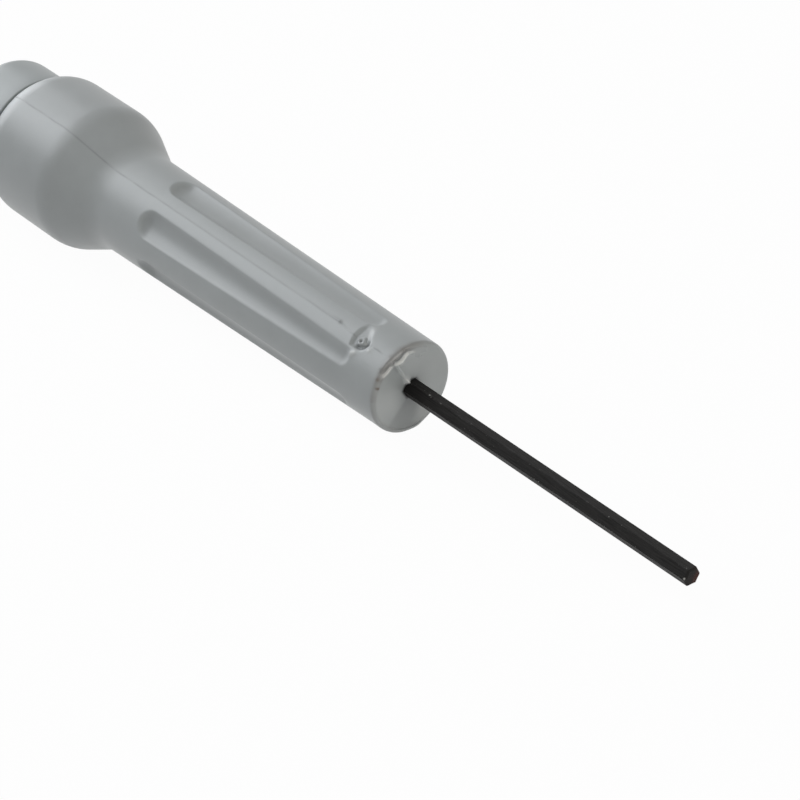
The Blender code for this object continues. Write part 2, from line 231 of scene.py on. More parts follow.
def bake(obj: Object) -> None:
    """Turn an object's modifiers into plain mesh, so that nothing is left live on it.

    Args:
        obj: the object, which keeps its name and place.
    """
    evaluated = obj.evaluated_get(bpy.context.evaluated_depsgraph_get())
    mesh = bpy.data.meshes.new_from_object(evaluated)
    obj.modifiers.clear()
    obj.data = mesh


def set_attribute(obj: Object, name: str, values: list[float]) -> None:
    """Give every corner of a mesh a named number that materials can read."""
    attribute = obj.data.attributes.new(name, "FLOAT", "POINT")
    attribute.data.foreach_set("value", values)


def dress(obj: Object, material: Material) -> None:
    """Give an object one material in place of those that it has."""
    obj.data.materials.clear()
    obj.data.materials.append(material)


@dataclass(frozen=True)
class ToolFrame:
    """Places on the tool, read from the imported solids.

    Attributes:
        face_x: where the handle's flat front face is.
    """

    face_x: float

    def point(self, distance: float, radius: float, angle: float) -> Vector:
        """Return the point at a distance behind the face, a radius and an angle round the tool."""
        turn = math.radians(angle)
        return Vector((self.face_x - distance, -math.cos(turn) * radius, math.sin(turn) * radius))

    def outward(self, angle: float) -> Vector:
        """Return the unit direction that points out of the axis at an angle round the tool."""
        turn = math.radians(angle)
        return Vector((0.0, -math.cos(turn), math.sin(turn)))


def ring_mesh(name: str, start: Vector, points: list[Vector], end: Vector, count: int) -> Object:
    """Join rings of points into a closed mesh with a point at each end.

    Args:
        name: the object's name.
        start: the point that closes the first ring.
        points: the rings' points, one ring after the other.
        end: the point that closes the last ring.
        count: how many points a ring has.

    Returns:
        The mesh, faces out when the outer side runs away from the tip.
    """
    rows = len(points) // count
    last = 1 + rows * count
    faces: list[tuple[int, ...]] = []
    for j in range(count):
        k = (j + 1) % count
        faces.append((0, 1 + k, 1 + j))
        for i in range(rows - 1):
            near, far = 1 + i * count, 1 + (i + 1) * count
            faces.append((near + j, near + k, far + k, far + j))
        faces.append((last, last - count + j, last - count + k))
    return new_mesh_object(name, [start, *points, end], faces)


def turned(
    name: str, tool: ToolFrame, profile: list[tuple[float, float]], sides: int, hollow: bool
) -> Object:
    """Turn a profile round the tool's axis.

    Args:
        name: the object's name.
        tool: the tool's frame.
        profile: points (distance, radius). The outer side runs away from the tip.
        sides: how many points go round.
        hollow: whether the profile is a closed loop round a bore. Otherwise it starts
            and ends on the axis.

    Returns:
        The closed mesh.
    """
    angles = [360.0 * j / sides for j in range(sides)]
    if not hollow:
        points = [tool.point(at, radius, angle) for at, radius in profile[1:-1] for angle in angles]
        start = tool.point(profile[0][0], 0.0, 0.0)
        end = tool.point(profile[-1][0], 0.0, 0.0)
        return ring_mesh(name, start, points, end, sides)
    points = [tool.point(at, radius, angle) for at, radius in profile for angle in angles]
    faces: list[tuple[int, ...]] = []
    for i in range(len(profile)):
        near, far = i * sides, (i + 1) % len(profile) * sides
        for j in range(sides):
            k = (j + 1) % sides
            faces.append((near + j, near + k, far + k, far + j))
    return new_mesh_object(name, points, faces)


def keep_corners(obj: Object, angle: float) -> None:
    """Keep edges crisp where a smooth-shaded mesh turns by more than an angle."""
    obj.data.set_sharp_from_angle(angle=math.radians(angle))


def flute_tree(material: Material, sizes: dict[str, float]) -> NodeTree:
    """Build the rule that sinks evenly spaced straight flutes into a turned shell.

    Every point keeps its place along the tool and its angle. Its radius becomes the
    smaller of its own and that of a ball-ended cutter's cylinder, with a soft edge.

    Args:
        material: the material that the result gets.
        sizes: the named inputs and their default values.

    Returns:
        The node tree.
    """
    tree = bpy.data.node_groups.new("straight_flutes", "GeometryNodeTree")
    tree.interface.new_socket("Geometry", in_out="INPUT", socket_type="NodeSocketGeometry")
    for name in sizes:
        tree.interface.new_socket(name, in_out="INPUT", socket_type="NodeSocketFloat")
    tree.interface.new_socket("Geometry", in_out="OUTPUT", socket_type="NodeSocketGeometry")
    given = add_node(tree, "NodeGroupInput").outputs
    place = add_node(tree, "GeometryNodeInputPosition").outputs[0]
    known: dict[str, NodeSocket] = {name: given[name] for name in sizes}
    known.update(zip("xyz", add_node(tree, "ShaderNodeSeparateXYZ", inputs={0: place}).outputs))
    # Each sum gives its result's name, its operation and its terms, which are names or numbers.
    for result, operation, *terms in (
        # Where the point is: behind the face, out from the axis, and round it
        ("distance", "SUBTRACT", "Face", "x"),
        ("y squared", "MULTIPLY", "y", "y"),
        ("z squared", "MULTIPLY", "z", "z"),
        ("radius squared", "ADD", "y squared", "z squared"),
        ("radius", "SQRT", "radius squared"),
        ("minus y", "MULTIPLY", "y", -1.0),
        ("angle", "ARCTAN2", "z", "minus y"),
        # How far it is turned from the nearest flute's middle
        ("pitch", "DIVIDE", math.tau, "Flute Count"),
        ("half pitch", "MULTIPLY", "pitch", 0.5),
        ("from first", "SUBTRACT", "angle", "First Angle"),
        ("shifted", "ADD", "from first", "half pitch"),
        ("in pitch", "FLOORED_MODULO", "shifted", "pitch"),
        ("turn", "SUBTRACT", "in pitch", "half pitch"),
        # How far it lies past either end of the flute's straight part
        ("to start", "SUBTRACT", "Start", "distance"),
        ("before", "MAXIMUM", "to start", 0.0),
        ("from stop", "SUBTRACT", "distance", "Stop"),
        ("beyond", "MAXIMUM", "from stop", 0.0),
        ("outside", "ADD", "before", "beyond"),
        ("past", "MULTIPLY", "outside", "End Steepness"),
        # How deep the ball-ended cutter reaches there
        ("sine", "SINE", "turn"),
        ("across", "MULTIPLY", "Axis Radius", "sine"),
        ("across squared", "MULTIPLY", "across", "across"),
        ("past squared", "MULTIPLY", "past", "past"),
        ("tool squared", "MULTIPLY", "Tool Radius", "Tool Radius"),
        ("beside", "SUBTRACT", "tool squared", "across squared"),
        ("room", "SUBTRACT", "beside", "past squared"),
        ("least room", "MAXIMUM", "room", 0.0),
        ("reach", "SQRT", "least room"),
        ("cosine", "COSINE", "turn"),
        ("cutter axis", "MULTIPLY", "Axis Radius", "cosine"),
        ("cut", "SUBTRACT", "cutter axis", "reach"),
        # Where it doesn't touch, its floor counts as 1 m out.
        ("touched", "GREATER_THAN", "room", 0.0),
        ("cut less 1", "SUBTRACT", "cut", 1.0),
        ("touched part", "MULTIPLY", "cut less 1", "touched"),
        ("floor", "ADD", "touched part", 1.0),
        # The new radius, as a share of the old one
        ("sunk", "SMOOTH_MIN", "radius", "floor", "Edge Softness"),
        ("least radius", "MAXIMUM", "radius", 1e-9),
        ("share", "DIVIDE", "sunk", "least radius"),
        ("new y", "MULTIPLY", "y", "share"),
        ("new z", "MULTIPLY", "z", "share"),
    ):
        inputs = {i: known.get(term, term) for i, term in enumerate(terms)}
        known[result] = add_node(tree, "ShaderNodeMath", {"operation": operation}, inputs).outputs[0]
    moved = add_node(
        tree, "ShaderNodeCombineXYZ", inputs={0: known["x"], 1: known["new y"], 2: known["new z"]}
    ).outputs[0]
    shaped = add_node(
        tree, "GeometryNodeSetPosition", inputs={"Geometry": given["Geometry"], "Position": moved}
    ).outputs[0]
    whole = add_node(tree, "GeometryNodeRealizeInstances", inputs={0: shaped}).outputs[0]
    finished = add_node(
        tree, "GeometryNodeSetMaterial", inputs={"Geometry": whole, "Material": material}
    ).outputs[0]
    add_node(tree, "NodeGroupOutput", inputs={"Geometry": finished})
    return tree


def seen_white(tree: NodeTree, lit: NodeSocket, white: NodeSocket, share: float) -> NodeSocket:
    """Let the lens, gloss and glass see plain white where the light falls on something else.

    Args:
        tree: the tree of the floor or the world.
        lit: the shader that the light meets.
        white: the plain white shader.
        share: how much of the white they see.

    Returns:
        The mixed shader.
    """
    rays = add_node(tree, "ShaderNodeLightPath").outputs
    seen = rays["Is Camera Ray"]
    for ray in ("Is Glossy Ray", "Is Transmission Ray"):
        seen = add_node(tree, "ShaderNodeMath", {"operation": "MAXIMUM"}, {0: seen, 1: rays[ray]}).outputs[0]
    if share < 1.0:
        seen = add_node(tree, "ShaderNodeMath", {"operation": "MULTIPLY"}, {0: seen, 1: share}).outputs[0]
    return add_node(tree, "ShaderNodeMixShader", inputs={0: seen, 1: lit, 2: white}).outputs[0]


@dataclass(frozen=True)
class Finish:
    """What every finish has: one shader, and patterns on Object coordinates.

    Attributes:
        name: the material's name.
        colour: its plain colour.
        roughness: its middle roughness.
    """

    name: str
    colour: str
    roughness: float

    def start(self) -> tuple[Material, NodeTree, NodeSocket]:
        """Start the material.

        Returns:
            The material, its node tree and the Object coordinates in that tree.
        """
        material = bpy.data.materials.new(self.name)
        material.use_nodes = True
        tree = material.node_tree
        return material, tree, add_node(tree, "ShaderNodeTexCoord").outputs["Object"]

    def shaded(self, tree: NodeTree, pattern: NodeSocket, dark: float, light: float) -> NodeSocket:
        """Let the colour follow a noise pattern.

        Args:
            tree: the material's tree.
            pattern: the noise.
            dark: the share of the colour where the noise is low.
            light: the share of it where the noise is high.

        Returns:
            The colour.
        """
        span = {"Value": pattern, **NOISE_SPAN, "To Min": dark, "To Max": light}
        share = add_node(tree, "ShaderNodeMapRange", inputs=span).outputs["Result"]
        return add_node(
            tree, "ShaderNodeVectorMath", {"operation": "SCALE"}, {0: srgb(self.colour)[:3], "Scale": share}
        ).outputs["Vector"]

    def tinted(
        self, tree: NodeTree, colour: NodeSocket, layers: list[tuple[NodeSocket, str]]
    ) -> NodeSocket:
        """Lay tints over the colour, one after the other.

        Args:
            tree: the material's tree.
            colour: the colour under them.
            layers: how much of each tint lies at a place, and the tint.

        Returns:
            The colour with its tints.
        """
        for share, tint in layers:
            colour = add_node(
                tree, "ShaderNodeMix", {"data_type": "RGBA"}, {0: share, 6: colour, 7: srgb(tint)}
            ).outputs[2]
        return colour

    def gloss(self, tree: NodeTree, pattern: NodeSocket, change: float) -> NodeSocket:
        """Let the roughness follow a noise pattern.

        Args:
            tree: the material's tree.
            pattern: the noise.
            change: how far it goes from the middle roughness, up where the noise is high.

        Returns:
            The roughness.
        """
        low, high = self.roughness - change, self.roughness + change
        span = {"Value": pattern, **NOISE_SPAN, "To Min": low, "To Max": high}
        return add_node(tree, "ShaderNodeMapRange", inputs=span).outputs["Result"]


@dataclass(frozen=True)
class MouldedPlastic(Finish):
    """ABS, as it comes out of a satin steel mould.

    The eye sees an even, slightly cool grey with a soft sheen, a faint mottle
    from the flow of the melt, and a few dark specks of burnt material.
    """

    # Flow mottle of 7 mm and a fine peel of 0.35 mm. The real peel is near 0.05 mm,
    # which is under half a pixel, so it is drawn coarser.
    mottle: float = 7.0 * MM
    peel: float = 0.35 * MM
    peel_depth: float = 0.006 * MM
    speck_spacing: float = 4.6 * MM
    speck_radius: float = 0.07 * MM
    speck_colour: str = "#4A4744"
    grime_colour: str = "#5C4B3C"
    # One near-black tint serves black dirt and painted shade, and one pale tint serves whitening and painted
    # highlights.
    soot_and_shade_colour: str = "#2B2C2D"
    stress_and_highlight_colour: str = "#E6E6E2"
    anisotropy: float = 0.0

    def build(self) -> Material:
        """Make the material.

        Returns:
            The material. It reads three attributes where a mesh has them: black dirt with painted shade,
            brown dirt, and whitening with painted highlights.
        """
        material, tree, place = self.start()
        mottle = add_node(
            tree,
            "ShaderNodeTexNoise",
            inputs={"Vector": place, "Scale": 1.0 / self.mottle, "Detail": 4.0, "Roughness": 0.6},
        ).outputs["Fac"]
        spots = add_node(
            tree,
            "ShaderNodeTexVoronoi",
            inputs={"Vector": place, "Scale": 1.0 / self.speck_spacing, "Randomness": 1.0},
        ).outputs["Distance"]
        spot_size = self.speck_radius / self.speck_spacing
        specks = add_node(
            tree,
            "ShaderNodeMapRange",
            inputs={"Value": spots, "From Min": spot_size, "From Max": 0.4 * spot_size, "To Max": 0.6},
        ).outputs["Result"]
        layers = [(specks, self.speck_colour)]
        # Painted shade uses the black dirt's tint, and painted highlights use the whitening's.
        marks = {"stress_and_highlight": self.stress_and_highlight_colour, "soot_and_shade": self.soot_and_shade_colour, "grime": self.grime_colour}
        for name, tint in marks.items():
            share = add_node(tree, "ShaderNodeAttribute", {"attribute_name": name}).outputs["Fac"]
            layers.append((share, tint))
        peel = add_node(
            tree,
            "ShaderNodeTexNoise",
            inputs={"Vector": place, "Scale": 1.0 / self.peel, "Detail": 2.0, "Roughness": 0.5},
        ).outputs["Fac"]
        bump = {"Height": peel, "Strength": 1.0, "Distance": self.peel_depth}
        shader = tree.nodes["Principled BSDF"]
        surface = {
            "Base Color": self.tinted(tree, self.shaded(tree, mottle, 0.95, 1.05), layers),
            "Roughness": self.gloss(tree, mottle, 0.04),
            "Normal": add_node(tree, "ShaderNodeBump", inputs=bump).outputs["Normal"],
            "IOR": 1.54,
            "Specular IOR Level": 0.62,
        }
        fill(tree, shader, surface)
        if self.anisotropy > 0.0:
            # Turned mould face: the gloss runs round the tool's axis.
            tangent = add_node(tree, "ShaderNodeTangent", {"direction_type": "RADIAL", "axis": "X"})
            fill(tree, shader, {"Tangent": tangent.outputs["Tangent"], "Anisotropic": self.anisotropy})
        return material


@dataclass(frozen=True)
class DrawnSteel(Finish):
    """Cold-drawn steel bar, blackened in an oxide bath.

    The eye sees a dark metal with fine lines along its length, whose corners rub
    bright in short specks.
    """

    metallic: float
    # Drawing lines 0.09 mm apart and 2.6 mm long. Real ones are near 0.02 mm apart,
    # too fine to show, so they are drawn coarser.
    line_width: float = 0.09 * MM
    line_length: float = 2.6 * MM
    line_depth: float = 0.003 * MM
    # The oxide's open pores take away most of the gloss.
    specular: float = 0.20
    wear_colour: str = "#ADACA8"
    rust_colour: str = "#4A241B"
    # Bright specks along the corners, 0.35 mm long. Wear lifts their noise, and only what
    # stands above the first of two levels is bare, up to a share of 0.9 at the second.
    speck_length: float = 0.35 * MM
    wear_lift: float = 0.35
    bare_levels: tuple[float, float] = (0.69, 0.80)
    barest: float = 0.9

    def build(self) -> Material:
        """Make the material.

        Returns:
            The material. It reads an attribute for bare wear, which also carries a painted glint, and one for
            rust, where a mesh has them.
        """
        material, tree, place = self.start()
        fine = 1.0 / self.line_width
        grain = {"Vector": place, "Scale": (1.0 / self.line_length, fine, fine)}
        stretched = add_node(tree, "ShaderNodeMapping", inputs=grain).outputs["Vector"]
        lines = add_node(
            tree, "ShaderNodeTexNoise", inputs={"Vector": stretched, "Scale": 1.0, "Detail": 3.0}
        ).outputs["Fac"]
        rub = add_node(
            tree,
            "ShaderNodeTexNoise",
            inputs={"Vector": place, "Scale": 1.0 / self.speck_length, "Detail": 3.0, "Roughness": 0.7},
        ).outputs["Fac"]
        wear_and_glint, rust = (
            add_node(tree, "ShaderNodeAttribute", {"attribute_name": name}).outputs["Fac"]
            for name in ("wear_and_glint", "rust")
        )
        lift = {0: wear_and_glint, 1: self.wear_lift, 2: rub}
        lifted = add_node(tree, "ShaderNodeMath", {"operation": "MULTIPLY_ADD"}, lift).outputs[0]
        low, high = self.bare_levels
        span = {"Value": lifted, "From Min": low, "From Max": high, "To Max": self.barest}
        bare = add_node(tree, "ShaderNodeMapRange", inputs=span).outputs["Result"]
        cover = add_node(tree, "ShaderNodeMath", {"operation": "ADD"}, {0: rub, 1: 0.2}).outputs[0]
        rusted = add_node(tree, "ShaderNodeMath", {"operation": "MULTIPLY"}, {0: cover, 1: rust}).outputs[0]
        layers = [(rusted, self.rust_colour), (bare, self.wear_colour)]
        bump = {"Height": lines, "Strength": 1.0, "Distance": self.line_depth}
        surface = {
            "Base Color": self.tinted(tree, self.shaded(tree, lines, 0.55, 1.7), layers),
            "Roughness": self.gloss(tree, lines, -0.16),
            "Normal": add_node(tree, "ShaderNodeBump", inputs=bump).outputs["Normal"],
            "Metallic": self.metallic,
            "Specular IOR Level": self.specular,
        }
        fill(tree, tree.nodes["Principled BSDF"], surface)
        return material


@dataclass(frozen=True)
class TurnedMetal(Finish):
    """Free-cutting brass or steel, turned on a lathe.

    The eye sees a bright metal with fine rings round its axis.
    """

    # Tool marks 0.12 mm apart, near the real feed of a small lathe, and a cloud of 1.5 mm
    feed: float = 0.12 * MM
    mark_depth: float = 0.003 * MM
    cloud: float = 1.5 * MM

    def build(self) -> Material:
        """Make the material.

        Returns:
            The material.
        """
        material, tree, place = self.start()
        along, y, z = add_node(tree, "ShaderNodeSeparateXYZ", inputs={0: place}).outputs
        across = add_node(tree, "ShaderNodeCombineXYZ", inputs={1: y, 2: z}).outputs[0]
        radius = add_node(tree, "ShaderNodeVectorMath", {"operation": "LENGTH"}, {0: across}).outputs["Value"]
        marks = add_node(tree, "ShaderNodeMath", {"operation": "ADD"}, {0: radius, 1: along}).outputs[0]
        turns = {0: marks, 1: math.tau / self.feed}
        marks = add_node(tree, "ShaderNodeMath", {"operation": "MULTIPLY"}, turns).outputs[0]
        marks = add_node(tree, "ShaderNodeMath", {"operation": "SINE"}, {0: marks}).outputs[0]
        cloud = add_node(
            tree, "ShaderNodeTexNoise", inputs={"Vector": place, "Scale": 1.0 / self.cloud, "Detail": 3.0}
        ).outputs["Fac"]
        bump = {"Height": marks, "Strength": 0.5, "Distance": self.mark_depth}
        surface = {
            "Base Color": self.shaded(tree, cloud, 0.9, 1.05),
            "Normal": add_node(tree, "ShaderNodeBump", inputs=bump).outputs["Normal"],
            "Roughness": self.roughness,
            "Metallic": 1.0,
        }
        fill(tree, tree.nodes["Principled BSDF"], surface)
        return material


GRIP_PLASTIC = MouldedPlastic("grey_abs_grip", "#9FA3A3", 0.38)
FACE_PLASTIC = MouldedPlastic("grey_abs_turned_face", "#9FA3A3", 0.30, anisotropy=0.85)
CAP_PLASTIC = MouldedPlastic("grey_abs_cap", "#9BA0A0", 0.40)
DISC_PLASTIC = MouldedPlastic("charcoal_abs_disc", "#55585B", 0.55, peel=0.22 * MM, peel_depth=0.02 * MM)
NYLON = MouldedPlastic("natural_nylon", "#E4E1D6", 0.50, speck_radius=0.02 * MM)
BLACK_OXIDE = DrawnSteel("black_oxide_steel", "#151413", 0.60, 0.35)
BRIGHT_STEEL = TurnedMetal("bright_turned_steel", "#C4C5C6", 0.28)
BRASS = TurnedMetal("turned_brass", "#D2AC62", 0.28)


class Surface(Enum):
    """The handle's surfaces, which the moulding marks tell apart."""

    INSIDE = "inside"
    FACE = "face"
    RIM = "rim"
    GRIP = "grip"
    BULB = "bulb"


@dataclass(frozen=True)
class Row:
    """One ring of the handle's surface.

    Attributes:
        distance: how far behind the front face the ring is.
        radius: its radius where it's round.
        surface: which surface it belongs to.
        pocket: how much of it follows the blade's pocket, from 0 to 1.
        winged: whether that pocket has the room for the blade's wings here.
    """

    distance: float
    radius: float
    surface: Surface
    pocket: float = 0.0
    winged: bool = False


@dataclass
class HexSection:
    """The blade's section: a hexagon with rounded corners, and wings where it's squeezed.

    Attributes:
        across_flats: the hexagon's size.
        corner_radius: the rounding of its corners.
        wing_spread: how far the wings reach past the corners that lie along Y.
        wing_squeeze: how far the two squeezed flats are pressed in.
    """

    across_flats: float = 2.0 * MM
    corner_radius: float = 0.10 * MM
    wing_spread: float = 0.65 * MM
    wing_squeeze: float = 0.35 * MM

    def radius(self, angle: float, clearance: float = 0.0, winged: bool = False) -> float:
        """Return how far the section reaches at an angle round the tool.

        Args:
            angle: the angle round the tool; the corners are at multiples of 60 degrees.
            clearance: what is added all round.
            winged: whether the wings count.

        Returns:
            The distance from the axis.
        """
        apothem = self.across_flats / 2.0 + clearance
        corner = self.corner_radius + clearance
        turn = math.radians(abs((angle + 30.0) % 60.0 - 30.0))
        centre = (apothem - corner) / math.cos(math.radians(30.0))
        tangent = math.atan2(corner * 0.5, centre + corner * math.cos(math.radians(30.0)))
        if turn > tangent:
            reach = apothem / math.cos(math.radians(30.0) - turn)
        else:
            reach = centre * math.cos(turn) + math.sqrt(corner**2 - (centre * math.sin(turn)) ** 2)
        if winged:
            across = abs(math.sin(math.radians(angle)))
            along = abs(math.cos(math.radians(angle)))
            half_span = self.across_flats / math.sqrt(3.0) + self.wing_spread + clearance
            half_thickness = self.across_flats / 2.0 - self.wing_squeeze + clearance
            reach = max(reach, min(half_span / max(along, 1e-6), half_thickness / max(across, 1e-6)))
        return reach


@dataclass
class Mark:
    """What the mould and years of use left at one place of the skin, and the shade and highlights painted
    there.

    Attributes:
        height: height over the plain surface, in metres.
        soot_and_shade: share of black dirt and of painted shade, from 0 to 1.
        grime: share of brown dirt.
        stress_and_highlight: share of whitening, where thin flash was bent or torn, and of painted
            highlights.
    """

    height: float = 0.0
    soot_and_shade: float = 0.0
    grime: float = 0.0
    stress_and_highlight: float = 0.0


@dataclass
class GateScar:
    """The place where the melt entered: a sunk spot with the stub that was torn off.

    Its outline is a wide arc behind and straight edges ahead. Apart from its distance,
    its numbers are in millimetres, counted ahead of its centre (towards the tip) and
    across it (towards larger angles).

    Attributes:
        distance: how far behind the front face its centre is, in metres.
        angle: where it is round the tool, on the parting line.
        depth: how deep it is sunk.
        arc_centre: the rear arc's centre.
        arc_radius: the rear arc's radius.
        edges: each straight edge's direction outwards, its distance and its wall's width.
        stub_centre: the torn stub's centre.
        stub_half: half the stub's width.
        stub_height: how far the stub stands over the spot's floor.
        core_centre: the pin-hole where the stub tore off.
        core_radius: the pin-hole's radius.
        core_depth: the pin-hole's depth.
        pit_depth: the depth of the crescent that runs round the stub's lower side.
        heaps: small heaps of flash round the spot, as ahead, across, radius and height.
    """

    distance: float = 5.5 * MM
    angle: float = 60.0
    depth: float = 0.30
    arc_centre: tuple[float, float] = (3.29, 0.21)
    arc_radius: float = 4.47
    edges: tuple[tuple[float, float, float, float], ...] = (
        (0.273, -0.962, 1.46, 0.42),
        (0.681, -0.732, 1.62, 0.42),
        (0.842, 0.539, 1.36, 0.80),
        (0.0, 1.0, 1.95, 1.10),
    )
    stub_centre: tuple[float, float] = (0.33, -0.43)
    stub_half: float = 0.56
    stub_height: float = 0.30
    core_centre: tuple[float, float] = (0.26, -0.47)
    core_radius: float = 0.17
    core_depth: float = 0.26
    pit_depth: float = 0.26
    heaps: tuple[tuple[float, float, float, float], ...] = (
        (0.18, -2.28, 0.32, 0.09),
        (0.52, -1.96, 0.30, 0.07),
        (2.10, -0.88, 0.24, 0.06),
    )

    def press(self, ahead: float, across: float, mark: Mark) -> None:
        """Press the scar into the skin at a place.

        Args:
            ahead: distance from its centre along the tool, towards the tip, in metres.
            across: distance round the tool, towards the larger angles, in metres.
            mark: the mark at that place, which is changed.
        """
        u, v = ahead / MM, across / MM
        if abs(u) > 3.0 or abs(v) > 3.4:
            return
        behind = self.arc_radius - math.hypot(u - self.arc_centre[0], v - self.arc_centre[1])
        sunk = smooth_step(-0.05, 0.55, behind)
        for to_u, to_v, far, wall in self.edges:
            sunk *= smooth_step(-0.05, wall, far - to_u * u - to_v * v)
        shallow = 1.0 - 0.55 * smooth_step(0.7, 1.7, u) - 0.35 * smooth_step(0.2, 1.8, v)
        mark.height = (mark.height / MM) * (1.0 - sunk) - self.depth * sunk * shallow
        # Painted shade darkens the sunk spot's floor a little.
        mark.soot_and_shade = mark.soot_and_shade * (1.0 - sunk) + 0.06 * sunk
        # The stub is a squarish post, turned a little.
        du, dv = u - self.stub_centre[0], v - self.stub_centre[1]
        square = ((0.80 * du + 0.60 * dv) ** 4 + (0.80 * dv - 0.60 * du) ** 4) ** 0.25
        mark.height += self.stub_height * (1.0 - smooth_step(0.65, 1.20, square / self.stub_half))
        core = swell(math.hypot(u - self.core_centre[0], v - self.core_centre[1]), self.core_radius)
        # The crescent widens ahead of the stub.
        turn = math.degrees(math.atan2(dv, du))
        away = math.hypot(du, dv) - 0.82 - 0.16 * smooth_step(-100.0, -10.0, turn)
        pit = swell(away, 0.23) * smooth_step(-130.0, -98.0, turn) * (1.0 - smooth_step(0.0, 45.0, turn))
        mark.height -= self.core_depth * core + self.pit_depth * pit
        # Painted shade fills the pin-hole, the crescent and the band by the spot's rear wall.
        mark.soot_and_shade += 0.30 * core + 0.42 * pit + 0.10 * swell(behind - 0.30, 0.30) * (sunk > 0.0)
        # Above the stub, the wall ahead is painted paler: a painted highlight.
        bright_wall = swell(u - 0.62 + 0.27 * (v - 0.6), 0.40) * smooth_step(0.2, 0.8, v)
        mark.stress_and_highlight += 0.22 * bright_wall * (1.0 - 0.8 * smooth_step(1.0, 2.4, v))
        for at_u, at_v, radius, rise in self.heaps:
            heap = swell(math.hypot(u - at_u, v - at_v), radius)
            mark.height += rise * heap
            # The heaps are painted paler: a painted highlight.
            mark.stress_and_highlight += 0.30 * heap
        mark.height *= MM


